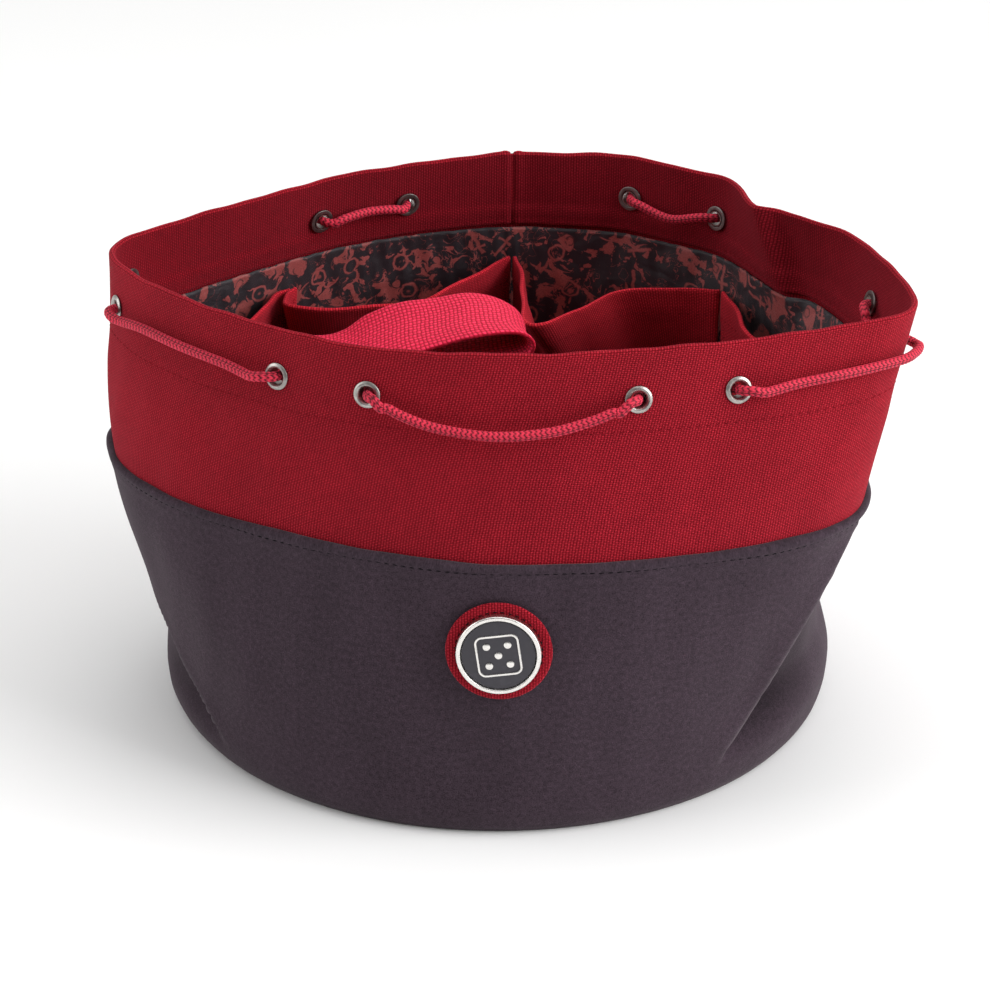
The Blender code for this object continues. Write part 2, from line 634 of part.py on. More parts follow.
# ---------------------------------------------------------------- badge
def make_badge():
    face = wall_frame(BADGE_ARC, BADGE_HEIGHT, GAP + SUEDE + GAP + 0.0002)
    patch, metal = BADGE_PATCH / 2, BADGE_METAL / 2
    rim = metal - 0.0016
    pieces = (
        ("badge_patch", ((0, 0.0012), (patch - 0.0006, 0.0012), (patch, 0.0007), (patch, 0), (0, 0)),
         0.0, RED_CANVAS, 28),
        ("badge_medallion", ((0, 0.0018), (rim, 0.0018), (rim, 0.0027), (metal - 0.0005, 0.0027),
                             (metal, 0.0022), (metal, 0), (0, 0)), 0.0015, BRIGHT_NICKEL, 28),
        ("badge_infill", ((0, 0.0003), (rim - GAP, 0.0003), (rim - GAP, 0), (0, 0)), 0.0036,
         DARK_ENAMEL, 28),
    )
    for name, profile, lift, made, steps in pieces:
        turned(name, profile, made, steps).matrix_world = face @ Matrix.Translation((0, 0, lift))


make_floor()
make_wall()
make_eyelets()
make_pockets()
make_drawstring()
make_cord_lock()
make_strap()
make_badge()
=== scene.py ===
import math

import bmesh
import bpy
import numpy as np
from mathutils import Matrix, Vector


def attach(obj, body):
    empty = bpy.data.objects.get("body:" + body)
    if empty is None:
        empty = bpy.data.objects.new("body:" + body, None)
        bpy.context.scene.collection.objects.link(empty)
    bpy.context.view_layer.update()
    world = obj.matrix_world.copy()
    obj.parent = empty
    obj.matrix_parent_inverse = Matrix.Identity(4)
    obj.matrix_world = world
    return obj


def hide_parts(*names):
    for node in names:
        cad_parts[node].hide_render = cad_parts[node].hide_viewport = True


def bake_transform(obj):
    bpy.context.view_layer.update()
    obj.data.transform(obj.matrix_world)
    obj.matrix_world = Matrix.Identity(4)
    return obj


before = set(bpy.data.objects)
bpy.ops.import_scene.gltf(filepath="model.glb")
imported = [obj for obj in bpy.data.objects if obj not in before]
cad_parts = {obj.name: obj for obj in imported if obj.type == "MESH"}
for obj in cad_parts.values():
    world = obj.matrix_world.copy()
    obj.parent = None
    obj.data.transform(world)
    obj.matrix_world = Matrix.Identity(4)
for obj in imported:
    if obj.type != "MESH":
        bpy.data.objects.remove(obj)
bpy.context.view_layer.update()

# ---------------------------------------------------------------- sizes shared with the CAD, in metres
FLOOR_RADIUS, RIM, BAND_TOP, GIRTH = 0.115, 0.166, 0.098, 0.720
FACING_EDGE, CANVAS_FOOT, EYELET_HEIGHT = 0.138, 0.086, 0.1505
CANVAS, SUEDE, LINING, GAP = 0.0009, 0.0012, 0.0005, 0.0003
CORD, EYELET_BORE, EYELET_FLANGE = 0.0033, 0.0049, 0.0089
STRAP_WIDTH, STRAP_THICK = 0.038, 0.0018
POCKET_COUNT, POCKET_HEIGHT = 8, 0.126
FACING_FACE, LINING_FACE = 2 * CANVAS + GAP, CANVAS + GAP + LINING
PITCH = GIRTH / POCKET_COUNT
EYELET_ARCS = (0.041, 0.077, 0.165, 0.193, 0.276, 0.309, 0.396, 0.429, 0.507, 0.537, 0.636, 0.674)

BAND_OUTLINE = (
    (0.005, 0.092), (-0.030, 0.087), (-0.060, 0.074), (-0.085, 0.055), (-0.106, 0.034),
    (-0.123, 0.011), (-0.1315, -0.008), (-0.131, -0.026), (-0.124, -0.045), (-0.105, -0.067),
    (-0.080, -0.0855), (-0.054, -0.100), (-0.031, -0.1085), (0.000, -0.115), (0.032, -0.1135),
    (0.058, -0.109), (0.084, -0.1015), (0.104, -0.091), (0.116, -0.077), (0.121, -0.060),
    (0.121, -0.038), (0.116, -0.012), (0.109, 0.012), (0.098, 0.034), (0.083, 0.054),
    (0.063, 0.072), (0.036, 0.086),
)
RIM_OUTLINE = (
    (0.005, 0.086), (-0.021, 0.078), (-0.042, 0.069), (-0.063, 0.056), (-0.083, 0.039),
    (-0.103, 0.022), (-0.121, 0.006), (-0.130, -0.008), (-0.129, -0.021), (-0.121, -0.035),
    (-0.110, -0.049), (-0.096, -0.063), (-0.082, -0.074), (-0.069, -0.083), (-0.053, -0.093),
    (-0.031, -0.100), (0.001, -0.104), (0.032, -0.102), (0.063, -0.096), (0.095, -0.086),
    (0.112, -0.079), (0.127, -0.072), (0.1355, -0.061), (0.134, -0.040), (0.129, -0.020),
    (0.123, -0.003), (0.114, 0.009), (0.104, 0.017), (0.095, 0.025), (0.089, 0.039),
    (0.084, 0.055), (0.076, 0.064), (0.065, 0.070), (0.055, 0.077), (0.044, 0.083),
    (0.023, 0.085),
)
# Folds: a ridge as (arc, height) points going up, the side the cloth is pulled in on, the heights between which
# it is pulled in, and how far.
FOLDS = (
    (((0.4360, 0.004), (0.4428, 0.0166), (0.4589, 0.0403), (0.4677, 0.0556), (0.4790, 0.0750), (0.4930, 0.0980)),
     1.0, (0.011, 0.031, 0.078, 0.098), 0.0126),
    (((0.2640, 0.010), (0.2516, 0.0213), (0.2394, 0.0293), (0.2252, 0.0397), (0.2050, 0.0540)),
     -1.0, (0.006, 0.022, 0.036, 0.058), 0.0050),
)
# Broad hollows of the wall: arc, height, their half widths, depth.
DENTS = ((0.545, 0.037, 0.042, 0.015, 0.0052), (0.197, 0.052, 0.050, 0.030, 0.0026),
         (0.225, 0.013, 0.034, 0.010, -0.0018))
POCKET_HEMS = (
    ((-0.008, 0.066), (-0.024, 0.043), (-0.039, 0.035), (-0.058, 0.033), (-0.0745, 0.035),
     (-0.0755, 0.045)),
    ((-0.0795, 0.046), (-0.0825, 0.036), (-0.086, 0.022), (-0.092, 0.009), (-0.107, -0.004)),
    ((-0.109, -0.013), (-0.088, 0.001), (-0.070, 0.007), (-0.054, 0.006), (-0.048, -0.010),
     (-0.060, -0.045)),
    ((-0.055, -0.047), (-0.042, -0.018), (-0.030, -0.012), (-0.012, -0.014), (-0.005, -0.028),
     (-0.003, -0.070)),
    ((0.005, -0.070), (0.006, -0.028), (0.014, -0.013), (0.035, -0.007), (0.052, -0.006),
     (0.064, -0.016), (0.078, -0.060)),
    ((0.085, -0.058), (0.071, -0.016), (0.080, -0.005), (0.098, -0.010)),
    ((0.102, -0.004), (0.090, 0.003), (0.086, 0.016), (0.084, 0.034)),
    ((0.078, 0.050), (0.064, 0.052), (0.042, 0.048), (0.028, 0.031), (0.016, 0.019),
     (0.009, 0.024), (0.009, 0.060)),
)
# The cord's way: through an eyelet as (arc, out), and in its runs as (arc, height, out).
PASS = ((-0.0115, 0.0036), (-0.0070, 0.0046), (-0.0032, 0.0042), (-0.0009, 0.0022), (0.0, -0.0010),
        (0.0009, -0.0042), (0.0032, -0.0064), (0.0070, -0.0070))
FRONT_ENDS = ((0.3162, 0.1485, 0.0045), (0.3888, 0.1485, 0.0045))
END_GAP, END_LEAD = 0.0004, 0.0010
LEFT_RUNS = (
    ((0.2925, 0.1490, -0.0064),),
    ((0.256, 0.1512, 0.0028), (0.236, 0.1518, 0.0026), (0.216, 0.1518, 0.0026)),
    ((0.180, 0.1490, -0.0068),),
    ((0.148, 0.1474, 0.0030), (0.122, 0.1460, 0.0027), (0.096, 0.1478, 0.0030)),
    ((0.059, 0.1512, -0.0064),),
)
RIGHT_RUNS = (
    ((0.4125, 0.1490, -0.0064),),
    ((0.449, 0.1512, 0.0028), (0.468, 0.1516, 0.0026), (0.487, 0.1512, 0.0026)),
    ((0.516, 0.1465, -0.0066), (0.528, 0.1475, -0.0062)),
    ((0.565, 0.1474, 0.0050), (0.589, 0.1458, 0.0130), (0.613, 0.1472, 0.0055)),
    ((0.655, 0.1478, -0.0064),),
)
FRONT_RUN = ((0.3235, 0.1461, 0.0041), (0.3350, 0.1433, 0.0042), (0.3525, 0.1420, 0.0048),
             (0.3690, 0.1431, 0.0044), (0.3815, 0.1461, 0.0041))
TAIL = ((0.0260, 0.1430, 0.0034), (0.0185, 0.1350, 0.0036), (0.0105, 0.1270, 0.0060),
        (0.0040, 0.1225, 0.0090), (0.0018, 0.1180, 0.00973), (0.0018, 0.1060, 0.01058),
        (0.0018, 0.0940, 0.01067), (0.0018, 0.0820, 0.01005), (0.0019, 0.0720, 0.00915),
        (0.0040, 0.0610, 0.0075), (0.0054, 0.0530, 0.0068))
# The strap: its root and direction in plan, and its two edges as (length along that, height).
STRAP_ROOT, STRAP_WAY = (-0.1235, -0.0150), (0.990, -0.139)
STRAP_NEAR = ((0.0060, 0.1316), (0.020, 0.1316), (0.040, 0.1316), (0.062, 0.1318), (0.082, 0.1352),
              (0.100, 0.1424), (0.117, 0.1487), (0.130, 0.1515), (0.1365, 0.1512), (0.1395, 0.1480),
              (0.1375, 0.1440), (0.1300, 0.1412), (0.118, 0.1388), (0.100, 0.1348), (0.082, 0.1308),
              (0.062, 0.1285), (0.040, 0.1282), (0.020, 0.1283), (0.0060, 0.1284))
STRAP_FAR = ((0.0060, 0.1316), (0.020, 0.1314), (0.040, 0.1310), (0.060, 0.1308), (0.0690, 0.1335),
             (0.0770, 0.1395), (0.0880, 0.1445), (0.1000, 0.1468), (0.1110, 0.1493), (0.1195, 0.1486),
             (0.1262, 0.1455), (0.1283, 0.1425), (0.1262, 0.1402), (0.1185, 0.1386), (0.105, 0.1350),
             (0.090, 0.1312), (0.076, 0.1286), (0.060, 0.1281), (0.040, 0.1282), (0.020, 0.1283), (0.0060, 0.1284))
BADGE_ARC, BADGE_HEIGHT, BADGE_PATCH, BADGE_METAL = 0.3655, 0.070, 0.0345, 0.0275

TAU = 2 * math.pi
STEPS, STATIONS = 24, 720  # steps between two points of an outline, and stations round the wall
FOOT_TURN = 0.012  # height over which the band leaves the floor's circle
CRISP, SPREAD = 0.0022, 0.058  # how soon a fold's hollow is deep, and how far it reaches
EDGE_ARC, EDGE_HEIGHT, EDGE_LEAN = 0.6012, 0.159, 0.45  # the mouth's turned edge on the back right
PHOTO_SIDE, FOCAL, SENSOR = 990, 3197, 36.0  # the photo's side and focal length in pixels; millimetres
HEM_STITCH, BAND_STITCH, BADGE_STITCH = (  # length, pause and width
    (0.0022, 0.0009, 0.00042), (0.0021, 0.0008, 0.00050), (0.0017, 0.0007, 0.00042))
THREAD_SINK, EYELET_HOLE, BINDING_STEP = 0.00012, 0.0033, 0.0014  # depth of stitches, hole's radius, zigzag's pitch
WALES, CHEVRON, RELIEF = 6, 0.00165, 0.00030  # the braid's rows, the length of one chevron and its depth


# ---------------------------------------------------------------- the wall's shape, as in the CAD, for whole arrays
def smooth(low, high, value):
    t = np.clip((value - low) / (high - low), 0, 1)
    return t * t * (3 - 2 * t)


def bell(value, width):
    return np.exp(-(value / width) ** 2)


def spline(points, spacing=None, closed=False):
    """A smooth curve through points, with steps of about this spacing."""
    knots = np.array(points, float)
    if closed:
        quads = zip(np.roll(knots, 1, 0), knots, np.roll(knots, -1, 0), np.roll(knots, -2, 0))
    else:
        padded = np.vstack([2 * knots[0] - knots[1], knots, 2 * knots[-1] - knots[-2]])
        quads = zip(padded, padded[1:], padded[2:], padded[3:])
    curve = []
    for a, b, c, d in quads:
        steps = STEPS if closed else max(1, round(float(np.linalg.norm(c - b)) / spacing))
        t = (np.arange(steps) / steps)[:, None]
        curve.append(0.5 * (2 * b + (c - a) * t + (2 * a - 5 * b + 4 * c - d) * t ** 2
                            + (3 * b - a - 3 * c + d) * t ** 3))
    return np.vstack([*curve, knots[:1] if closed else knots[-1:]])


def run_along(curve):
    """The length from a curve's start to each of its points."""
    return np.concatenate([[0.0], np.cumsum(np.linalg.norm(np.diff(curve, axis=0), axis=1))])


def at_lengths(places, run, values):
    return np.column_stack([np.interp(places, run, line) for line in values.T])


def resample(curve, count=None, spacing=None, ends=True):
    run = run_along(curve)
    count = count or max(2, int(round(run[-1] / spacing)) + 1)
    return at_lengths(np.linspace(0.0, run[-1], count, endpoint=ends), run, curve)


def length_of(points):
    return float(np.linalg.norm(np.diff(np.array(points, float), axis=0), axis=1).sum())


def circle(radius):
    turn = math.radians(87.5) + TAU * np.arange(STATIONS) / STATIONS
    return radius * np.column_stack([np.cos(turn), np.sin(turn)])


HEIGHTS = np.array([0.0, 0.0035, FOOT_TURN, BAND_TOP, RIM])
OUTLINES = np.stack([
    circle(FLOOR_RADIUS - 0.0025), circle(FLOOR_RADIUS), circle(FLOOR_RADIUS + 0.0020),
    *(resample(spline(outline, closed=True), STATIONS, ends=False) for outline in (BAND_OUTLINE, RIM_OUTLINE))])


def flat_wall(arc, height):
    """Plan of the wall without folds: each station's place between the outlines, by a cubic in height."""
    place = (arc / GIRTH % 1.0) * STATIONS
    low = place.astype(int) % STATIONS
    share = (place - np.floor(place))[None, ..., None]
    knots = OUTLINES[:, low] * (1 - share) + OUTLINES[:, (low + 1) % STATIONS] * share
    last = len(HEIGHTS) - 1
    slope = np.stack([(knots[min(i + 1, last)] - knots[max(i - 1, 0)])
                      / (HEIGHTS[min(i + 1, last)] - HEIGHTS[max(i - 1, 0)]) for i in range(last + 1)])
    part = np.clip(np.searchsorted(HEIGHTS, height) - 1, 0, last - 1)
    span = HEIGHTS[part + 1] - HEIGHTS[part]
    t = ((height - HEIGHTS[part]) / span)[..., None]
    span = span[..., None]

    def pick(values, level):
        return np.take_along_axis(values, level[None, ..., None], 0)[0]

    return ((2 * t ** 3 - 3 * t ** 2 + 1) * pick(knots, part)
            + (t ** 3 - 2 * t ** 2 + t) * span * pick(slope, part)
            + (3 * t ** 2 - 2 * t ** 3) * pick(knots, part + 1)
            + (t ** 3 - t ** 2) * span * pick(slope, part + 1))


def fold_reach(arc, height, fold):
    """How far beyond a fold's ridge a place is, along the arc, and how strong the fold is at its height."""
    ridge, side, (foot, low, high, top), most = fold
    knots = np.array(ridge)
    beyond = side * (arc - np.interp(height, knots[:, 1], knots[:, 0]))
    return beyond, smooth(foot, low, height) * (1 - smooth(high, top, height)) * most


def crease_depth(arc, height):
    """How far the folds and the hollows pull the cloth in."""
    depth = np.zeros(arc.shape)
    for fold in FOLDS:
        beyond, most = fold_reach(arc, height, fold)
        behind = np.maximum(beyond, 0.0)
        depth += most * (1 - np.exp(-behind / CRISP)) * bell(behind, SPREAD)
    for a, h, wide, high, most in DENTS:
        depth += most * bell(arc - a, wide) * bell(height - h, high)
    return depth * np.minimum(1.0, height / FOOT_TURN)


def waves(arc, height):
    """Soft unevenness of the hanging cloth, none near the eyelets and the foot, and the mouth's turned edge."""
    a = arc * TAU / GIRTH
    calm = smooth(0.004, 0.030, height) * (1 - smooth(0.128, 0.142, height))
    slow = (np.sin(5 * a + 34 * height + 0.7) + 0.6 * np.sin(9 * a - 21 * height + 2.1)
            + 0.45 * np.sin(14 * a + 55 * height + 4.0))
    fine = np.sin(27 * a + 60 * height) * np.sin(11 * a - 90 * height + 1.3)
    beyond = EDGE_ARC - EDGE_LEAN * (EDGE_HEIGHT - height) - arc
    bulge = np.where(beyond > 0, (1 - bell(beyond, 0.0065)) * bell(beyond, 0.026), 0.0)
    lip = bell(beyond, np.where(beyond > 0, 0.0040, 0.0110))
    edge = smooth(0.116, 0.150, height) * (0.0048 * bulge - 0.0018 * lip)
    return calm * (0.00034 * slow + 0.00018 * fine) + edge


def wall(arc, height, out=0.0, lively=True):
    """Points of the wall at these arcs and heights, standing out from its surface."""
    arc, height, out = np.broadcast_arrays(*(np.asarray(x, float) for x in (arc, height, out)))
    run = flat_wall(arc + 0.002, height) - flat_wall(arc - 0.002, height)
    normal = np.stack([run[..., 1], -run[..., 0]], -1) / np.linalg.norm(run, axis=-1, keepdims=True)
    reach = out - crease_depth(arc, height) + (waves(arc, height) if lively else 0.0)
    flat = flat_wall(arc, height) + normal * reach[..., None]
    return np.concatenate([flat, height[..., None]], -1)


def spot(arc, height, out=0.0):
    return Vector(wall(arc, height, out, False))


def wall_frame(arc, height, out=0.0):
    """Axes on the wall: x along it, y up and z out of it."""
    along = spot(arc - 0.004, height) - spot(arc + 0.004, height)
    up = spot(arc, height + 0.004) - spot(arc, height - 0.004)
    normal = up.cross(along).normalized()
    along.normalize()
    turn = Matrix((along, normal.cross(along), normal)).transposed()
    return Matrix.Translation(spot(arc, height) + normal * out) @ turn.to_4x4()


# ---------------------------------------------------------------- camera, light and floor
def show(name, data):
    """Puts something that isn't part of the bag in the scene."""
    thing = bpy.data.objects.new(name, data)
    bpy.context.scene.collection.objects.link(thing)
    return thing


def aimed(name, data, place, at):
    thing = show(name, data)
    thing.location = place
    thing.rotation_euler = (Vector(at) - thing.location).to_track_quat("-Z", "Y").to_euler()
    return thing


lens = bpy.data.cameras.new("camera")
lens.sensor_width = SENSOR
lens.lens = SENSOR * FOCAL / PHOTO_SIDE
lens.clip_start, lens.clip_end = 0.05, 30.0
bpy.context.scene.camera = aimed("camera", lens, (-0.001, -1.0172, 0.5535), (-0.001, 0.0, 0.0683))

for name, place, at, size, power in (
        ("overhead", (0.10, 0.10, 1.9), (0.0, 0.0, 0.0), (2.0, 1.8), 15.0),
        ("right_box", (1.5, -0.55, 0.85), (0.0, 0.0, 0.08), (1.3, 1.3), 31.0),
        ("left_box", (-1.6, -0.2, 0.80), (0.0, 0.0, 0.08), (1.2, 1.2), 11.0)):
    light = bpy.data.lights.new(name, "AREA")
    light.shape = "RECTANGLE"
    light.size, light.size_y = size
    light.energy = power
    aimed(name, light, place, at)

world = bpy.data.worlds.new("studio")
bpy.context.scene.world = world
world.use_nodes = True
new_node, wire = world.node_tree.nodes.new, world.node_tree.links.new
sky = world.node_tree.nodes["Background"]
sky.inputs["Color"].default_value = (1.0, 0.998, 0.992, 1)
# the room is darker on the front left side
where, dark_way, level = (new_node("ShaderNode" + kind) for kind in ("TexCoord", "VectorMath", "MapRange"))
dark_way.operation = "DOT_PRODUCT"
dark_way.inputs[1].default_value = (-0.35, -0.93, 0.0)
for index, value in enumerate((-0.1, 0.9, 0.60, 0.16), start=1):
    level.inputs[index].default_value = value
wire(where.outputs["Generated"], dark_way.inputs[0])
wire(dark_way.outputs["Value"], level.inputs[0])
wire(level.outputs[0], sky.inputs["Strength"])

bpy.context.scene.view_settings.view_transform = "Standard"
bpy.context.scene.view_settings.look = "None"

floor_mesh = bpy.data.meshes.new("studio_floor")
floor_mesh.from_pydata([(-7, -7, 0), (7, -7, 0), (7, 7, 0), (-7, 7, 0)], [], [(0, 1, 2, 3)])
show("studio_floor", floor_mesh)


# ---------------------------------------------------------------- shaders
class Shader:
    """A Principled material with short calls for its node graph."""

    def __init__(self, name, colour, rough, **more):
        self.made = bpy.data.materials.new(name)
        self.made.use_nodes = True
        self.tree = self.made.node_tree
        self.out = self.tree.nodes["Principled BSDF"]
        for key, value in {"Base_Color": (*colour, 1.0), "Roughness": rough, **more}.items():
            self.set(key.replace("_", " "), value)

    def plug(self, place, value):
        if isinstance(value, bpy.types.NodeSocket):
            self.tree.links.new(value, place)
        else:
            place.default_value = value

    def set(self, socket, value):
        self.plug(self.out.inputs[socket], value)

    def node(self, kind, output=0, settings=(), **inputs):
        """One output of a new node, whose inputs are given by name or as i0, i1 and so on."""
        node = self.tree.nodes.new("ShaderNode" + kind)
        for key, value in dict(settings).items():
            setattr(node, key, value)
        for key, value in inputs.items():
            self.plug(node.inputs[int(key[1:]) if key[1:].isdigit() else key], value)
        return node.outputs[output]

    def math(self, kind, a, b=0.0):
        return self.node("Math", settings={"operation": kind}, i0=a, i1=b)

    def mul(self, first, *more):
        for value in more:
            first = self.math("MULTIPLY", first, value)
        return first

    def add(self, a, b):
        return self.math("ADD", a, b)

    def abs(self, value):
        return self.math("ABSOLUTE", value)

    def max(self, a, b):
        return self.math("MAXIMUM", a, b)

    def less(self, value):
        """One less the value."""
        return self.math("SUBTRACT", 1.0, value)

    def vector(self, kind, a, b=(0.0, 0.0, 0.0), output=0):
        return self.node("VectorMath", output, {"operation": kind}, i0=a, i1=b)

    def scaled(self, vector, *by):
        return self.vector("MULTIPLY", vector, by)

    def split(self, vector, kind="SeparateXYZ"):
        return self.node(kind, slice(0, 2), i0=vector)

    def uv(self):
        place = self.node("UVMap", settings={"uv_map": "cloth"})
        return place, *self.split(place)

    def local(self):
        return self.node("TexCoord", 3)

    def noise(self, vector, scale, detail=2.0, rough=0.5, output=0, distortion=0.0):
        return self.node("TexNoise", output, Vector=vector, Scale=scale, Detail=detail,
                         Roughness=rough, Distortion=distortion)

    def remap(self, value, a, b, c=0.0, d=1.0, kind="LINEAR"):
        return self.node("MapRange", settings={"interpolation_type": kind}, i0=value, i1=a, i2=b, i3=c, i4=d)

    def mix(self, share, a, b, kind="MIX"):
        a, b = ((*c, 1.0) if isinstance(c, tuple) else c for c in (a, b))
        return self.node("Mix", 2, {"data_type": "RGBA", "blend_type": kind}, i0=share, i6=a, i7=b)

    def shaded(self, colour, shade):
        return self.mix(1.0, colour, self.node("CombineXYZ", i0=shade, i1=shade, i2=shade), "MULTIPLY")

    def finish(self, colour, height=None, distance=0.0, strength=0.0):
        """Sets the colour and the bump, and returns the material."""
        self.set("Base Color", colour)
        if height is not None:
            self.set("Normal", self.node("Bump", Height=height, Distance=distance, Strength=strength))
        return self.made


def plain_weave(sh, u, v, warp, weft, vector, wobble=0.12):
    """Height from 0 to 1 of a plain weave with these thread pitches, in metres."""
    drifts = sh.split(sh.noise(vector, 260.0, 1.0, output=1))
    cu, cv = (sh.math("COSINE", sh.mul(sh.add(sh.math("DIVIDE", x, pitch), sh.mul(sh.add(drift, -0.5), wobble * 4)),
                                       math.pi)) for x, pitch, drift in zip((u, v), (warp, weft), drifts))
    au, av = sh.abs(cu), sh.abs(cv)
    over = sh.remap(sh.mul(cu, cv), -0.06, 0.06)
    up = sh.mul(sh.math("POWER", au, 0.75), sh.math("POWER", av, 0.42))
    down = sh.mul(sh.math("POWER", au, 0.42), sh.math("POWER", av, 0.75), 0.72)
    return sh.add(sh.mul(up, over), sh.mul(down, sh.less(over)))


def canvas_shader(name, colour, deep, warp=0.00095, weft=0.00058, lift=0.00022, rough=0.85, sheen=0.25,
                  contrast=0.42):
    sh = Shader(name, colour, rough, Sheen_Weight=sheen, Sheen_Roughness=0.5, Specular_IOR_Level=0.05,
                Sheen_Tint=(1.0, 0.16, 0.22, 1.0))
    place, u, v = sh.uv()
    h = plain_weave(sh, u, v, warp, weft, place)
    yarn = sh.noise(sh.scaled(place, 900.0, 260.0, 1.0), 1.0)
    slub = sh.noise(sh.scaled(place, 120.0, 1500.0, 1.0), 1.0, 1.0)
    cloudy = sh.noise(place, 42.0, 3.0)
    fibre = sh.noise(place, 4200.0)
    # the weave's low places are darkened and take the deep colour, its crests are lightened: painted shade and painted
    # highlight in the weave
    shade = sh.mul(sh.remap(h, 0.05, 0.9, 1.0 - contrast, 1.12), sh.remap(yarn, 0.25, 0.75, 0.88, 1.12),
                   sh.remap(slub, 0.25, 0.75, 0.93, 1.07), sh.remap(cloudy, 0.3, 0.7, 0.92, 1.08),
                   sh.remap(fibre, 0.25, 0.75, 0.90, 1.10))
    body = sh.shaded(sh.mix(sh.remap(h, 0.1, 0.85), deep, colour), shade)
    lint = sh.remap(sh.noise(place, 2600.0, 1.0), 0.72, 0.82, 0.0, 0.35)
    body = sh.mix(lint, body, tuple(min(1.0, 1.6 * c + 0.05) for c in colour))
    sh.set("Roughness", sh.remap(h, 0.0, 1.0, rough + 0.1, rough - 0.08))
    return sh.finish(body, sh.add(h, sh.mul(fibre, 0.35)), lift, 0.9)


def suede_shader(name, colour):
    sh = Shader(name, colour, 0.92, Sheen_Weight=0.12, Sheen_Roughness=0.45, Specular_IOR_Level=0.10,
                Sheen_Tint=(0.95, 0.86, 0.90, 1.0))
    place = sh.uv()[0]
    nap = sh.noise(place, 2300.0, 3.0, 0.6)
    tuft = sh.noise(place, 620.0, 2.0, 0.55)
    brushed = sh.noise(sh.scaled(place, 60.0, 26.0, 1.0), 1.0, 3.0, distortion=0.4)
    # darker where this attribute is high: painted shade in the hollows behind the folds
    turned = sh.node("Attribute", 2, {"attribute_name": "nap_turned"})
    shade = sh.mul(sh.remap(nap, 0.25, 0.75, 0.45, 1.62), sh.remap(tuft, 0.3, 0.7, 0.74, 1.27),
                   sh.remap(brushed, 0.3, 0.7, 0.93, 1.09), sh.remap(turned, 0.0, 1.0, 1.0, 0.40))
    body = sh.mix(sh.remap(nap, 0.66, 0.80, 0.0, 0.28), sh.shaded(colour, shade), tuple(2.1 * c for c in colour))
    sh.set("Roughness", sh.remap(tuft, 0.3, 0.7, 0.86, 0.98))
    return sh.finish(body, sh.add(nap, sh.mul(tuft, 0.8)), 0.00012, 0.7)


def lining_shader(name):
    """Shiny dark lining with a dull red print of generic rings, sticks, drops, bows and blots."""
    dark, print_red = (0.020, 0.016, 0.022), (0.40, 0.085, 0.080)
    sh = Shader(name, dark, 0.36, Sheen_Weight=0.1, Specular_IOR_Level=0.5, Coat_Weight=0.08, Coat_Roughness=0.3)
    place, u, v = sh.uv()
    warped = sh.vector("ADD", place, sh.scaled(sh.noise(place, 260.0, output=1), 0.0022, 0.0022, 0.0022))
    cells = sh.node("TexVoronoi", slice(None), {"voronoi_dimensions": "2D"}, Vector=warped, Scale=74.0,
                    Randomness=0.85)
    cells = {out.name: out for out in cells}
    angle, kind = sh.split(cells["Color"], "SeparateColor")
    turned = sh.node("VectorRotate", settings={"rotation_type": "Z_AXIS"}, Angle=sh.mul(angle, TAU),
                     Vector=sh.vector("SUBTRACT", warped, cells["Position"]))
    x, y = sh.split(turned)
    far = sh.vector("LENGTH", turned, output=1)

    def soft(value, edge, blur=0.00022):
        return sh.remap(value, edge - blur, edge + blur, 1.0, 0.0)

    def band(value, at, width):
        """Where a value is near this one."""
        return soft(sh.abs(sh.add(value, -at) if at else value), width)

    ring = sh.max(band(far, 0.0031, 0.00042), soft(far, 0.0011))
    guard = sh.mul(band(y, -0.0022, 0.00045), band(x, 0, 0.0024))
    stick = sh.max(sh.mul(band(x, 0, 0.00062), band(y, 0, 0.0052)), guard)
    drop = sh.mul(soft(sh.add(far, sh.mul(y, 0.55)), 0.0030), sh.less(band(far, 0.0019, 0.00020)))
    bow = sh.mul(band(sh.add(y, sh.mul(x, x, 260.0)), 0.0014, 0.00055), band(x, 0, 0.0038))
    inked = sh.remap(sh.noise(warped, 150.0, 4.0, 0.60, distortion=0.8), 0.545, 0.562)
    for shape, low, high in ((ring, -1.0, 0.26), (stick, 0.26, 0.50), (drop, 0.50, 0.76), (bow, 0.76, 2.0)):
        chosen = sh.mul(sh.math("GREATER_THAN", kind, low), sh.math("LESS_THAN", kind, high))
        inked = sh.max(inked, sh.mul(shape, chosen))
    strokes = sh.abs(sh.add(sh.noise(warped, 150.0, distortion=1.4), -0.5))
    strokes = sh.mul(sh.remap(strokes, 0.006, 0.010, 1.0, 0.0), sh.remap(sh.noise(place, 70.0, 1.0), 0.48, 0.52))
    inked = sh.mul(sh.max(inked, strokes), sh.remap(sh.noise(place, 3000.0, 1.0), 0.2, 0.45, 0.75, 1.0))
    worn = sh.remap(sh.noise(place, 1500.0), 0.3, 0.7, 0.75, 1.15)
    weave = plain_weave(sh, u, v, 0.00032, 0.00026, place, 0.05)
    crinkle = sh.noise(sh.scaled(place, 34.0, 60.0, 1.0), 1.0, 3.0, distortion=0.5)
    sh.set("Roughness", sh.remap(crinkle, 0.3, 0.7, 0.30, 0.46))
    return sh.finish(sh.mix(inked, dark, sh.shaded(print_red, worn)),
                     sh.add(sh.mul(weave, 0.05), sh.mul(crinkle, 1.6)), 0.0016, 0.8)


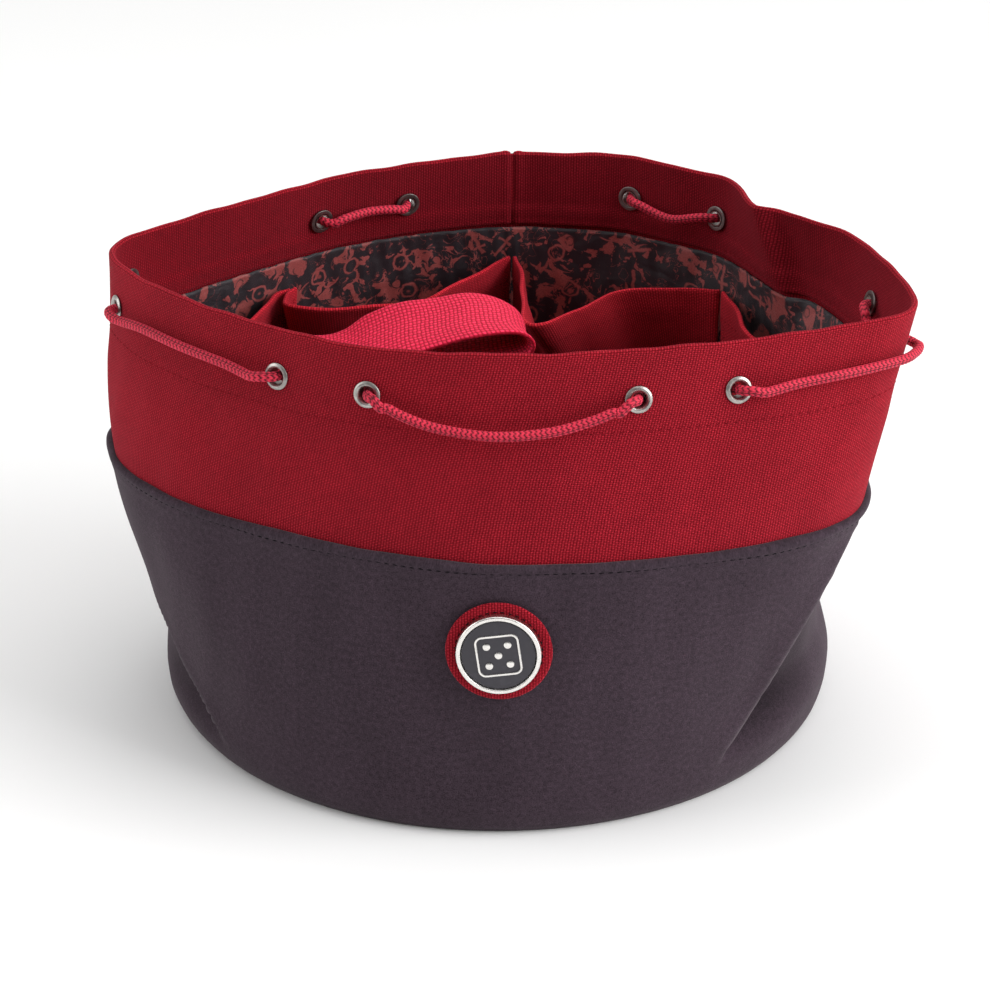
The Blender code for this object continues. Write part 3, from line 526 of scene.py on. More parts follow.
def cord_shader(name, colour, deep):
    sh = Shader(name, colour, 0.62, Sheen_Weight=0.2, Sheen_Roughness=0.4, Specular_IOR_Level=0.22,
                Sheen_Tint=(1.0, 0.3, 0.4, 1.0))
    place = sh.uv()[0]
    lift = sh.node("Attribute", 2, {"attribute_name": "lift"})
    fibre = sh.noise(sh.scaled(place, 1800.0, 5200.0, 1.0), 1.0)
    # the braid's low places take the dark colour: painted shade between the strands
    body = sh.mix(sh.remap(lift, 0.30, 0.98, kind="SMOOTHSTEP"), deep, colour)
    shade = sh.mul(sh.remap(fibre, 0.25, 0.75, 0.82, 1.18),
                   sh.remap(sh.noise(place, 90.0, 1.0), 0.3, 0.7, 0.94, 1.06))
    return sh.finish(sh.shaded(body, shade), fibre, 0.00012, 0.7)


def thread_shader(name, colour):
    sh = Shader(name, colour, 0.75, Specular_IOR_Level=0.08)
    twist = sh.noise(sh.local(), 3800.0, 1.0)
    return sh.finish(sh.shaded(colour, sh.remap(twist, 0.3, 0.7, 0.7, 1.25)), twist, 0.00008, 0.6)


def metal_shader(name, colour, rough, worn, wear):
    sh = Shader(name, colour, rough, Metallic=1.0)
    place = sh.local()
    cloud = sh.noise(place, 420.0, 3.0)
    grain = sh.noise(place, 2600.0, 3.0, 0.7)
    sh.set("Roughness", sh.add(sh.remap(grain, 0.3, 0.7, rough - 0.06, rough + 0.10),
                               sh.remap(cloud, 0.3, 0.7, -0.03, 0.06)))
    return sh.finish(sh.mix(sh.remap(cloud, 0.35, 0.7, 0.0, wear), colour, worn), grain, 0.00003, 0.5)


def plastic_shader(name, colour, rough):
    sh = Shader(name, colour, rough, Specular_IOR_Level=0.45)
    place = sh.local()
    scuff = sh.noise(place, 260.0, 3.0)
    sh.set("Roughness", sh.remap(scuff, 0.3, 0.7, rough - 0.06, rough + 0.12))
    pale = tuple(1.8 * c + 0.01 for c in colour)
    return sh.finish(sh.mix(sh.remap(scuff, 0.55, 0.75, 0.0, 0.5), colour, pale),
                     sh.noise(place, 2400.0), 0.00004, 0.6)


def floor_shader():
    sh = Shader("studio_paper", (0.97, 0.97, 0.965), 0.9, Specular_IOR_Level=0.05)
    tone = sh.remap(sh.noise(sh.local(), 3.0), 0.3, 0.7, 0.935, 0.945)
    return sh.finish(sh.node("CombineXYZ", i0=tone, i1=tone, i2=sh.mul(tone, 0.997)))


floor_mesh.materials.append(floor_shader())
# the second colour of each canvas below is painted shade in the weave's hollows
RED = canvas_shader("red_canvas", (0.395, 0.0165, 0.0295), (0.180, 0.0012, 0.0060))
# a lighter copy of the red canvas: painted light for the pockets inside the bag
RED_LIT_INSIDE = canvas_shader("red_canvas_inside_painted_light", (0.66, 0.026, 0.044), (0.31, 0.006, 0.013))
# a darker copy of the red canvas: painted shade on the inside of the turned-over facing
RED_SHADED_FACING = canvas_shader("red_canvas_facing_painted_shade", (0.285, 0.0095, 0.0200), (0.125, 0.0026, 0.0062))
WEBBING = canvas_shader("pink_red_webbing", (1.0, 0.040, 0.112), (0.62, 0.010, 0.035), 0.00200, 0.00146,
                        0.00045, 0.7, 0.35, 0.35)
SUEDE_DARK = suede_shader("plum_microsuede", (0.041, 0.027, 0.037))
PRINT = lining_shader("printed_lining")
# the cord's second colour is painted shade in the braid's grooves
CORD_RED = cord_shader("red_braid", (0.76, 0.035, 0.076), (0.085, 0.002, 0.008))
THREAD_DARK = thread_shader("dark_thread", (0.007, 0.006, 0.008))
THREAD_RED = thread_shader("red_thread", (0.200, 0.005, 0.012))
NICKEL = metal_shader("antique_nickel", (0.30, 0.285, 0.27), 0.34, (0.58, 0.56, 0.53), 0.75)
NICKEL_DARK = metal_shader("aged_nickel", (0.20, 0.19, 0.185), 0.42, (0.34, 0.33, 0.31), 0.5)
BRIGHT = metal_shader("bright_nickel", (0.80, 0.78, 0.75), 0.24, (0.62, 0.60, 0.57), 0.35)
ENAMEL = plastic_shader("dark_enamel", (0.034, 0.031, 0.040), 0.36)
BLACK = plastic_shader("black_plastic", (0.020, 0.020, 0.022), 0.42)
STEEL = metal_shader("spring_wire", (0.55, 0.55, 0.56), 0.28, (0.42, 0.42, 0.43), 0.4)
BOARD = plastic_shader("grey_board", (0.32, 0.30, 0.27), 0.85)


# ---------------------------------------------------------------- mesh builders
def link(thing, slot, *nodes, body="bag"):
    """Puts a piece in the scene, on its body, and in the place of these CAD nodes; its slot is not used."""
    bpy.context.scene.collection.objects.link(thing)
    if nodes:
        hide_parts(*nodes)
    if body:
        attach(thing, body)
    return thing


def mesh_of(name, points, faces, uvs, *made, **attributes):
    """An object from flat arrays: points, quads or triangles, one UV for each face corner, a value for each point."""
    mesh = bpy.data.meshes.new(name)
    mesh.from_pydata(np.asarray(points).reshape(-1, 3).tolist(), [], [list(f) for f in faces])
    if uvs is not None:
        mesh.uv_layers.new(name="cloth").data.foreach_set("uv", np.asarray(uvs, np.float32).ravel())
    for key, values in attributes.items():
        mesh.attributes.new(key, "FLOAT", "POINT").data.foreach_set("value", np.asarray(values, np.float32).ravel())
    for m in made:
        mesh.materials.append(m)
    mesh.shade_smooth()
    return bpy.data.objects.new(name, mesh)


def normals_of(grid, closed=True):
    du = (np.roll(grid, -1, 1) - np.roll(grid, 1, 1)) if closed else np.gradient(grid, axis=1)
    n = np.cross(du, np.gradient(grid, axis=0))
    return n / np.maximum(np.linalg.norm(n, axis=-1, keepdims=True), 1e-12)


def cells_of(rows, columns, closed=True):
    """Row, column and next column of each cell of a grid."""
    r, c = np.meshgrid(np.arange(rows - 1), np.arange(columns if closed else columns - 1), indexing="ij")
    return r.ravel(), c.ravel(), (c.ravel() + 1) % columns


def quads_of(r, c, d, columns):
    return np.stack([r * columns + c, r * columns + d, (r + 1) * columns + d, (r + 1) * columns + c], 1)


def cloth(name, mid, thick, u, v, *made, closed=True, holes=(), **attributes):
    """A thick sheet round its middle surface, rows x columns x 3, with u and v as the weave's place."""
    rows, columns = mid.shape[:2]
    half = normals_of(mid, closed) * np.broadcast_to(np.asarray(thick, float), (rows, columns))[..., None] / 2
    points = np.concatenate([(mid + half).reshape(-1, 3), (mid - half).reshape(-1, 3)])
    u = np.broadcast_to(np.asarray(u, float), (rows, columns + closed))
    v = np.broadcast_to(np.asarray(v, float)[:, None] if np.ndim(v) == 1 else v, u.shape)
    r, c, d = cells_of(rows, columns, closed)
    centre = (mid[r, c] + mid[r + 1, c] + mid[r, d] + mid[r + 1, d]) / 4
    keep = np.ones(len(r), bool)
    for place in holes:
        keep &= np.linalg.norm(centre - place, axis=1) > EYELET_HOLE
    r, c, d = r[keep], c[keep], d[keep]
    base = rows * columns
    front = quads_of(r, c, d, columns)
    uv = np.stack([np.stack([u[a, b], v[a, b]], -1)
                   for a, b in ((r, c), (r, c + 1), (r + 1, c + 1), (r + 1, c))], 1)
    # walls where the sheet ends: an edge used by one front face only
    edges, edge_uv = (np.concatenate([x[:, [i, (i + 1) % 4]] for i in range(4)]) for x in (front, uv))
    _, first, counts = np.unique(np.sort(edges, 1), axis=0, return_index=True, return_counts=True)
    rim = first[counts == 1]
    a, b = edges[rim].T
    faces = [front, front[:, ::-1] + base, np.stack([b, a, a + base, b + base], 1)]
    uvs = [uv, uv[:, ::-1], edge_uv[rim][:, [1, 0, 0, 1]]]
    both = {key: np.tile(np.ravel(values), 2) for key, values in attributes.items()}
    return mesh_of(name, points, np.concatenate(faces), np.concatenate(uvs), *made, **both)


def sides_along(path):
    """Two side vectors along a dense path, which don't turn about it."""
    way = np.gradient(path, axis=0)
    way /= np.linalg.norm(way, axis=1, keepdims=True)
    side = np.zeros_like(way)
    start = np.cross(way[0], (0.31, 0.17, 0.93))
    side[0] = start / np.linalg.norm(start)
    for i in range(1, len(way)):
        s = side[i - 1] - way[i] * np.dot(side[i - 1], way[i])
        side[i] = s / np.linalg.norm(s)
    return side, np.cross(way, side)


def braid(name, path, diameter, around=26, step=0.0003):
    """A braided cord, as a tube whose surface carries rows of small chevrons, and its resampled path."""
    path = resample(np.asarray(path, float), spacing=step)
    side, other = (x[:, None] for x in sides_along(path))
    rows = len(path)
    s = np.arange(rows) * length_of(path) / (rows - 1)
    turn = TAU * np.arange(around) / around
    angle = (turn + (0.9 * np.sin(s / 0.045) + 0.5 * np.sin(s / 0.021 + 1.0))[:, None])[..., None]
    x = 2 * np.abs((turn * WALES / TAU) % 1.0 - 0.5)
    phase = (s[:, None] / CHEVRON + 0.55 * x) % 1.0
    strand = np.sqrt(np.clip(1 - (2 * (phase - 0.5) / 0.97) ** 2, 0, 1))
    lift = strand * (1 - 0.55 * np.abs(2 * x - 1) ** 3)
    radius = (diameter / 2 - RELIEF * (1 - lift))[..., None]
    ring = path[:, None] + radius * (np.cos(angle) * side + np.sin(angle) * other)
    r, c, d = cells_of(rows, around)
    faces = quads_of(r, c, d, around).tolist()
    width = math.pi * diameter / around
    uv = np.stack([np.stack([s[a], c * width + b], 1) for a, b in ((r, 0), (r, width), (r + 1, width), (r + 1, 0))], 1)
    for tip, first in ((rows * around, 0), (rows * around + 1, (rows - 1) * around)):
        for i in range(around):
            a, b = first + i, first + (i + 1) % around
            faces.append([tip, a, b] if first else [tip, b, a])
    caps = np.tile([(0, 0), (0.001, 0), (0, 0.001)], (2 * around, 1))
    points = np.concatenate([ring.reshape(-1, 3), path[:1], path[-1:]])
    # lift, the relief's height, also drives the cord's painted shade in the grooves
    return mesh_of(name, points, faces, np.concatenate([uv.reshape(-1, 2), caps]), CORD_RED,
                   lift=np.append(lift, [0.8, 0.8])), path


def finished(name, build, place, made, sharp):
    """An object from a bmesh, with its faces turned outward and its sharp edges marked."""
    bmesh.ops.recalc_face_normals(build, faces=build.faces)
    mesh = bpy.data.meshes.new(name)
    build.to_mesh(mesh)
    build.free()
    mesh.materials.append(made)
    mesh.shade_smooth()
    mesh.set_sharp_from_angle(angle=math.radians(sharp))
    mesh.transform(place)
    return bpy.data.objects.new(name, mesh)


def bridge(build, a, b):
    """Faces between two loops of vertices; a loop of one vertex is a point on the axis."""
    count = max(len(a), len(b))
    for i in range(count):
        j = (i + 1) % count
        build.faces.new(tuple(dict.fromkeys((a[i % len(a)], a[j % len(a)], b[j % len(b)], b[i % len(b)]))))


def lathe(name, profile, made, steps, place):
    """A turned piece round local Z through (radius, height) points, a ring if it starts off the axis."""
    build = bmesh.new()
    rows = []
    for radius, height in profile:
        turn = TAU * np.arange(steps) / steps if radius > 1e-9 else [0.0]
        rows.append([build.verts.new((radius * math.cos(t), radius * math.sin(t), height)) for t in turn])
    for a, b in zip(rows, rows[1:] + (rows[:1] if profile[0][0] > 1e-9 else [])):
        bridge(build, a, b)
    layer = build.loops.layers.uv.new("cloth")
    for face in build.faces:
        for corner in face.loops:
            corner[layer].uv = corner.vert.co.xy
    return finished(name, build, place, made, 40)


def rounded(points, radius, steps=4):
    """Rounds the corners of an open (radius, height) profile."""
    points = [np.array(p, float) for p in points]
    made = [points[0]]
    for a, b, c in zip(points, points[1:], points[2:]):
        one, two = (a - b), (c - b)
        reach = min(radius, 0.45 * np.linalg.norm(one), 0.45 * np.linalg.norm(two))
        start, end = b + one / np.linalg.norm(one) * reach, b + two / np.linalg.norm(two) * reach
        for t in np.linspace(0, 1, steps + 1):
            made.append((1 - t) ** 2 * start + 2 * t * (1 - t) * b + t * t * end)
    return np.array([*made, points[-1]])


def threads(name, starts, ends, normals, width, made, sides=6):
    """Short thread stitches between two sets of points, dipping into the cloth at each end, as one mesh."""
    starts, ends, n = (np.asarray(x, float) for x in (starts, ends, normals))
    n = n / np.linalg.norm(n, axis=1, keepdims=True)
    ahead = ends - starts
    ahead /= np.maximum(np.linalg.norm(ahead, axis=1, keepdims=True), 1e-9)
    over = np.cross(ahead, n)
    # share of the way, share of the width and lift of the rings along a stitch
    along, wide, lift = np.array(((0.0, 0.35, -1.4), (0.12, 0.85, -0.2), (0.5, 1.0, 0.35), (0.88, 0.85, -0.2),
                                  (1.0, 0.35, -1.4))).T[..., None]
    levels = len(along)
    turn = TAU * np.arange(sides)[:, None] / sides
    centre = starts[:, None] + (ends - starts)[:, None] * along + n[:, None] * (lift * width * 0.4 - THREAD_SINK)
    ring = over[:, None, None] * np.cos(turn) + n[:, None, None] * np.sin(turn) * 0.8
    points = centre[:, :, None] + ring * (wide * width / 2)[..., None]
    cells = quads_of(*cells_of(levels, sides), sides).tolist()
    caps = [list(range(sides))[::-1], list(range((levels - 1) * sides, levels * sides))]
    faces = [[k * levels * sides + i for i in face] for k in range(len(starts)) for face in cells + caps]
    return mesh_of(name, points, faces, None, made)


def stitches(name, path, normal, size, made):
    """A row of short stitches lying on a path. size is a stitch's length, the pause after it and its width."""
    length, pause, width = size
    run = run_along(path)
    count = int(run[-1] // (length + pause))
    begin = (np.arange(count) + 0.2) * run[-1] / count
    reach = length / (length + pause) * run[-1] / count
    return threads(name, at_lengths(begin, run, path), at_lengths(begin + reach, run, path),
                   at_lengths(begin + reach / 2, run, normal), width, made)


# ---------------------------------------------------------------- cords
def through(arc, way, inward):
    """The cord's way through an eyelet. way says whether the arc grows along it, inward that it goes in here."""
    place = wall_frame(arc, EYELET_HEIGHT)
    steps = PASS if inward else [(-a, o) for a, o in reversed(PASS)]
    return [spot(arc + way * a, EYELET_HEIGHT, o) if abs(a) > 0.005 else place @ Vector((-way * a, 0.0, o))
            for a, o in steps]


def threaded(first, eyelets, runs, way, tail):
    """A half of the drawstring, from its end beside the front run through its eyelets to its free end."""
    route = []
    for number, (arc, run) in enumerate(zip(eyelets, (*runs, tail))):
        route += through(arc, way, number % 2 == 0)
        route += [spot(*place) for place in run]
    return smoothed([*first, *route[2:]])


def smoothed(points):
    return spline([tuple(p) for p in points], 0.0015)


def unit(vector):
    return vector / np.linalg.norm(vector)


def overhand(name, end, way):
    """A pulled-tight overhand knot in the cord's own braid, with its short end hanging out."""
    side = unit(np.cross(way, (0.1, 1.0, 0.2)))
    other = np.cross(way, side)
    t = np.linspace(0, TAU, 60, endpoint=False)[:, None]
    x, y, z = np.sin(t) + 2 * np.sin(2 * t), np.cos(t) - 2 * np.cos(2 * t), -np.sin(3 * t)
    centre = end + way * 0.0046
    loop = centre + 0.00105 * (x * side + y * way * 1.05 + 1.15 * z * other)
    loop = np.roll(loop, -np.argmax(loop @ -way), 0)
    tail = centre + way * np.linspace(0.003, 0.0072, 5)[:, None] + side * 0.0004
    path = spline(np.vstack([end - way * 0.0004, loop[1:-1:3], tail]), 0.0004)
    return braid(name, path, CORD * 0.80, around=20, step=0.00035)[0]


start, end = (spot(*place) for place in FRONT_ENDS)
over = (end - start).normalized()
lead, gap = over * END_LEAD, over * END_GAP / 2
routes = {
    "left": threaded((start, start - lead), EYELET_ARCS[5::-1], LEFT_RUNS, -1, TAIL),
    "right": threaded((end, end + lead), EYELET_ARCS[6:], RIGHT_RUNS, 1, [(GIRTH - a, h, o) for a, h, o in TAIL]),
    "front_run": smoothed([start + gap, start + gap + lead, *(spot(*p) for p in FRONT_RUN),
                           end - gap - lead, end - gap])}
cords, knots = {}, {}
for name, route in routes.items():
    cord, path = braid(f"drawstring_{name}_braid", route, CORD)
    link(cord, "cord", f"drawstring_{name}", body="front_run" if name == "front_run" else "bag")
    cords[name] = cord, path
for name in ("left", "right"):
    path = cords[name][1]
    knots[name] = link(overhand(f"overhand_knot_{name}", path[-1], unit(path[-1] - path[-6])), "cord",
                       f"drawstring_knot_{name}")


# ---------------------------------------------------------------- wall: canvas, suede, lining
COLUMNS = 720
ARCS = GIRTH * np.arange(COLUMNS) / COLUMNS
AROUND = np.append(ARCS, GIRTH)[None]
ANGLES = ARCS * TAU / GIRTH
SEAM = np.minimum(ARCS, GIRTH - ARCS)


def ring(profile):
    """The wall's rows for (height, out) pairs, their normals and heights, and the cloth's length up to each."""
    rows = np.stack([wall(ARCS, h, o) for h, o in profile])
    step = np.hypot(*np.diff(np.array(profile), axis=0).T)
    return rows, normals_of(rows), np.array(profile)[:, :1], np.concatenate([[0.0], np.cumsum(step)])


def make_canvas():
    fold = (CANVAS + GAP) / 2
    crown = RIM - CANVAS / 2 - fold
    outer, facing = -CANVAS / 2, -CANVAS / 2 - 2 * fold
    profile = [(h, outer) for h in np.arange(CANVAS_FOOT, crown - 0.0002, 0.00105)]
    profile += [(crown + fold * math.sin(t), outer - fold + fold * math.cos(t)) for t in np.linspace(0, math.pi, 8)]
    profile += [(h, facing) for h in np.arange(crown - 0.0004, FACING_EDGE, -0.00085)]
    profile += [(FACING_EDGE, facing)]
    rows, n, heights, v = ring(profile)
    inner = (np.arange(len(profile)) > len(profile) * 0.66)[:, None] & (heights < crown)
    # the facing's seam is sunk in the cloth; inside, the turned hem below it is thicker
    stitch = FACING_EDGE + 0.0023
    sunk = bell(heights - stitch, 0.00055) * (0.6 + 0.4 * np.cos(TAU * ARCS / 0.0031))
    hem = 1 - smooth(FACING_EDGE + 0.0055, FACING_EDGE + 0.0085, heights)
    shift = np.where(inner, 0.00035 * hem - 0.00042 * sunk, -0.00028 * sunk)
    shift = shift - 0.00080 * bell(SEAM, 0.00080) + 0.00030 * bell(SEAM - 0.0026, 0.0011)
    # the rim is a little uneven
    rows[..., 2] += smooth(RIM - 0.010, RIM, heights) * (
        0.00016 * np.sin(23 * ANGLES + 1) + 0.00012 * np.sin(41 * ANGLES)
        + 0.00030 * np.sin(9 * ANGLES + 2) * np.sin(4 * ANGLES))
    thick = np.where(inner, CANVAS + 0.00075 * hem, CANVAS)
    thick[-2:, 0] *= (0.8, 0.35)
    holes = [np.array(spot(a, EYELET_HEIGHT, out)) for a in EYELET_ARCS for out in (0.0, -FACING_FACE)]
    thing = cloth("canvas_wall", rows + n * shift[..., None], thick, AROUND, v, RED, RED_SHADED_FACING, holes=holes)
    # the second material, a darker copy of the red canvas, is painted shade on the faces beyond the rim
    mesh = thing.data
    uvs = np.empty(len(mesh.loops) * 2, np.float32)
    starts = np.empty(len(mesh.polygons), np.int32)
    mesh.uv_layers[0].data.foreach_get("uv", uvs)
    mesh.polygons.foreach_get("loop_start", starts)
    turned = v[int(np.argmax(heights)) + 3]
    mesh.polygons.foreach_set("material_index", (uvs[1::2][starts] > turned).astype(np.int32))
    link(thing, "canvas", "canvas_upper")
    # the line of stitching that holds the facing, seen from both sides
    arcs = np.linspace(0, GIRTH, 1400)
    for where, out, side in (("outside", 0.00006, 1), ("inside", -FACING_FACE - 0.00062, -1)):
        path = wall(arcs, stitch, out)
        up = side * (wall(arcs, stitch, out + 0.001) - path)
        link(stitches(f"facing_stitch_{where}", path, up, HEM_STITCH, THREAD_RED), "canvas")


def make_suede():
    centre, turn = GAP + SUEDE / 2, 0.00075
    profile = [(h, centre) for h in (0.0006, 0.0014, 0.0024, 0.0034, 0.0046, 0.006, 0.0078, 0.0098, 0.012)]
    profile += [(h, centre) for h in np.arange(0.0136, BAND_TOP - 0.0012, 0.0014)]
    profile += [(BAND_TOP - turn + turn * math.sin(t), centre + 0.0004 - turn + turn * math.cos(t))
                for t in np.linspace(0, math.radians(150), 6)]
    rows, n, heights, v = ring(profile)
    stitch = BAND_TOP - 0.0021
    sunk = bell(heights - stitch, 0.0006) * (0.65 + 0.35 * np.cos(TAU * ARCS / 0.0030))
    shift = 0.00035 * smooth(BAND_TOP - 0.0055, BAND_TOP - 0.0035, heights) - 0.00040 * sunk
    # a fold's lip is crisp and stands out a little, and behind it the suede is darkened: painted shade in the fold's
    # hollow
    turned = np.zeros(rows.shape[:2])
    for fold in FOLDS:
        beyond, most = fold_reach(ARCS[None], heights, fold)
        turned += (np.clip(most / 0.0090, 0, 1) * (1 - np.exp(-np.clip(beyond, 0, None) / 0.0016))
                   * np.exp(-(beyond / 0.050) ** 4))
        shift = shift + 0.10 * most * bell(np.minimum(beyond, 0), 0.0070) * (beyond < 0.0004)
    # the seam round the floor, and the loose upper edge
    shift = shift - 0.00035 * bell(heights - 0.0105, 0.0012) * (0.7 + 0.3 * np.sin(60 * ANGLES))
    loose = 0.00015 + 0.00025 * np.sin(5 * ANGLES + 0.6) + 0.0002 * np.sin(13 * ANGLES)
    shift = shift + smooth(BAND_TOP - 0.012, BAND_TOP, heights) * np.clip(loose, 0.0, None)
    rows = rows + n * shift[..., None]
    thick = np.full((len(profile), 1), SUEDE)
    thick[-1] *= 0.5
    thing = cloth("suede_wall", rows, thick, AROUND, v, SUEDE_DARK, nap_turned=turned)
    link(thing, "suede", "suede_band")
    row = int(np.argmin(np.abs(heights[:-6, 0] - stitch)))
    up = np.vstack([n[row], n[row][:1]])
    path = np.vstack([rows[row], rows[row][:1]]) + up * (SUEDE / 2 + 0.00006)
    link(stitches("band_topstitch", path, up, BAND_STITCH, THREAD_DARK), "suede")


def make_lining():
    middle = -LINING_FACE + LINING / 2
    rows, n, heights, v = ring([(h, middle) for h in np.arange(0.0050, FACING_EDGE - 0.0005, 0.0014)])
    crinkle = (np.sin(61 * ANGLES + 180 * heights) * np.sin(23 * ANGLES - 95 * heights + 0.4)
               + 0.7 * np.sin(97 * ANGLES - 240 * heights + 2.0) * np.sin(37 * ANGLES + 0.9))
    shift = np.clip(-0.00028 * (crinkle + 1.2) * smooth(0.010, 0.03, heights), -0.0011, 0.0)
    for fold in FOLDS:
        beyond, most = fold_reach(ARCS[None], heights, fold)
        shift = shift - 0.0016 * most / 0.012 * bell(beyond - 0.004, 0.010)
    shift = shift - 0.0005 * bell(SEAM - 0.0012, 0.0008)
    thing = cloth("lining_sleeve", rows + n * shift[..., None], LINING * 0.8, AROUND, v, PRINT)
    link(thing, "lining", "lining_wall")


def make_floor():
    columns = 240
    t = TAU * np.arange(columns)[None] / columns
    board_top = SUEDE + 2 * GAP + 0.0018
    for name, radius, height, crinkle, thick, made, slot, node in (
            ("floor_panel", FLOOR_RADIUS - 0.0030, SUEDE / 2, 0.0, SUEDE, SUEDE_DARK, "suede", "base_panel"),
            ("lining_floor", FLOOR_RADIUS - 0.0048, board_top + 0.0006, 0.00045, LINING, PRINT, "lining",
             "lining_base")):
        r = np.concatenate([[0.0006], np.linspace(0.004, radius - 0.0002, 46)])[:, None]
        z = height + crinkle * ((np.sin(5 * t + r * 120) * np.sin(3 * t - r * 260) + 1) * smooth(0.0, 0.02, r)
                                * (1 - smooth(radius - 0.015, radius, r)))
        grid = np.stack([r * np.cos(-t), r * np.sin(-t), z], -1)
        u, v = (np.concatenate([grid[..., i], grid[:, :1, i]], 1) for i in (0, 1))
        thing = cloth(name, grid, thick * 0.98, u, v, made)
        link(thing, slot, node)


# ---------------------------------------------------------------- eyelets
def make_eyelets():
    bore, flange = EYELET_BORE / 2, EYELET_FLANGE / 2
    barrel, deep, top = bore + 0.00035, -FACING_FACE - 0.0015, -FACING_FACE - 0.0008
    outer = rounded([(bore, deep), (bore, -0.0002), (bore + 0.0003, 0.00065), (bore + 0.00085, 0.00105),
                     (flange - 0.0007, 0.00098), (flange - 0.00008, 0.00062), (flange, 0.00040),
                     (flange - 0.00015, 0.00032), (barrel + 0.0002, 0.00034), (barrel, 0.0001), (barrel, deep)],
                    0.0003, 3)
    washer = rounded([(barrel + GAP, top - 0.0003), (barrel + GAP, top), (flange, top), (flange, top - 0.00055),
                      (barrel + GAP, top - 0.00055), (barrel + GAP, top - 0.0003)], 0.00016, 3)
    for number, arc in enumerate(EYELET_ARCS, start=1):
        place = wall_frame(arc, EYELET_HEIGHT)
        for name, profile, made, node in (("eyelet_face", outer, NICKEL, "eyelet"),
                                          ("eyelet_back", washer, NICKEL_DARK, "eyelet_washer")):
            link(lathe(f"{name}_{number:02d}", profile, made, 56, place), "eyelet_metal", f"{node}_{number:02d}")


# ---------------------------------------------------------------- pockets
def on_grid(grid, row, column):
    """A point between the rows and columns of a grid."""
    r, c = (min(int(x), most - 2) for x, most in zip((row, column), grid.shape))
    down, along = row - r, column - c
    return ((grid[r, c] * (1 - along) + grid[r, c + 1] * along) * (1 - down)
            + (grid[r + 1, c] * (1 - along) + grid[r + 1, c + 1] * along) * down)


def make_pockets():
    foot, sewn, columns = 0.0075, -LINING_FACE - 0.0026, 110
    hem_foot = POCKET_HEIGHT - 0.0115
    stitch = hem_foot + 0.0016
    heights = np.append(np.arange(foot, POCKET_HEIGHT - 0.0008, 0.0016),
                        POCKET_HEIGHT - np.array([0.0006, 0.0002, 0.0]))
    h = heights[:, None]
    row = int(np.argmin(np.abs(heights - stitch)))
    for number, hem in enumerate(POCKET_HEMS, start=1):
        arcs = np.linspace((number - 1) * PITCH + 0.0012, number * PITCH - 0.0012, columns)
        top = wall(arcs, POCKET_HEIGHT, sewn, False)[:, :2]
        mouth = resample(spline([top[0], *hem, top[-1]], 0.0005), columns)
        rise = ((heights - foot) / (POCKET_HEIGHT - foot))[:, None, None]
        swing = np.concatenate([mouth - top, np.zeros((columns, 1))], 1)
        mid = wall(arcs, h, sewn) + swing * rise ** 1.7
        run = np.linspace(0, length_of(mouth), columns)[None]
        ripple = 0.0005 * np.sin(run * TAU / 0.034 + number) * smooth(0.06, 0.12, h)
        calm = np.minimum(1.0, np.minimum(run, run[:, ::-1]) / 0.010)
        mid = mid + normals_of(mid, False) * (ripple * calm)[..., None]
        thick = (CANVAS + 0.0008 * smooth(hem_foot - 0.0004, hem_foot + 0.0006, h)
                 - 0.0006 * bell(h - stitch, 0.0006) * (0.7 + 0.3 * np.cos(run * TAU / 0.003)))
        thick[-2:] *= ((0.7,), (0.25,))
        # the pockets take the lighter copy of the red canvas: painted light inside the bag
        thing = cloth(f"pocket_{number}", mid, thick, number * 0.1 + run, heights, RED_LIT_INSIDE, closed=False)
        link(thing, "canvas", f"pocket_panel_{number}")
        n = normals_of(mid, False)
        starts, ends, ups = [], [], []
        for side, word in ((1, "in"), (-1, "out")):
            face = mid + n * (side * (thick[..., None] / 2 + 0.00004))
            link(stitches(f"pocket_{number}_hem_stitch_{word}", face[row], side * n[row], HEM_STITCH, THREAD_RED),
                 "canvas")
            # zigzag that binds the raw edge beside each side seam
            for column, near, far in ((0, 0.0010, 0.0042), (-1, run[0, -1] - 0.0010, run[0, -1] - 0.0042)):
                for i, low in enumerate(np.arange(0.012, POCKET_HEIGHT - 0.004, BINDING_STEP)):
                    level = np.interp((low, low + BINDING_STEP), heights, np.arange(len(heights)))
                    for end, place, where in zip((starts, ends), level, (near, far) if i % 2 else (far, near)):
                        end.append(on_grid(face, place, np.interp(where, run[0], np.arange(columns))))
                    ups.append(side * n[int(level[0]), column])
        link(threads(f"pocket_{number}_zigzag", starts, ends, ups, 0.00036, THREAD_RED, sides=5), "canvas")


# ---------------------------------------------------------------- strap
def make_strap():
    """One ribbon, folded back on itself with a twist, between its near and its far edge."""
    rows = 300
    way = np.array(STRAP_WAY) / np.hypot(*STRAP_WAY)
    near, far = (resample(spline(edge, 0.0006), rows) for edge in (STRAP_NEAR, STRAP_FAR))
    total = (length_of(near) + length_of(far)) / 2
    s = np.linspace(0, total, rows)
    share = np.linspace(-0.5, 0.5, 45)[:, None]
    blend = share + 0.5
    blend = blend + 0.06 * np.sin(TAU * blend)
    pair = near[:, None] * (1 - blend) + far[:, None] * blend
    flat = np.array(STRAP_ROOT) + way * pair[..., :1] + np.array((-way[1], way[0])) * share * STRAP_WIDTH
    grid = np.concatenate([flat, pair[..., 1:]], -1)
    across = 2 * share.T
    cup = 0.0006 * (1 - across ** 2) * np.sin(np.pi * s[:, None] / total)
    grid = grid + normals_of(grid, False) * cup[..., None]
    thick = STRAP_THICK * np.sqrt(np.clip(1.0 - np.abs(across) ** 12 * 0.85, 0.1, 1))
    thing = cloth("strap_webbing", grid, thick, share.T * STRAP_WIDTH, s, WEBBING, closed=False)
    link(thing, "webbing", "strap_root", "strap_loop", body=None)
    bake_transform(thing)


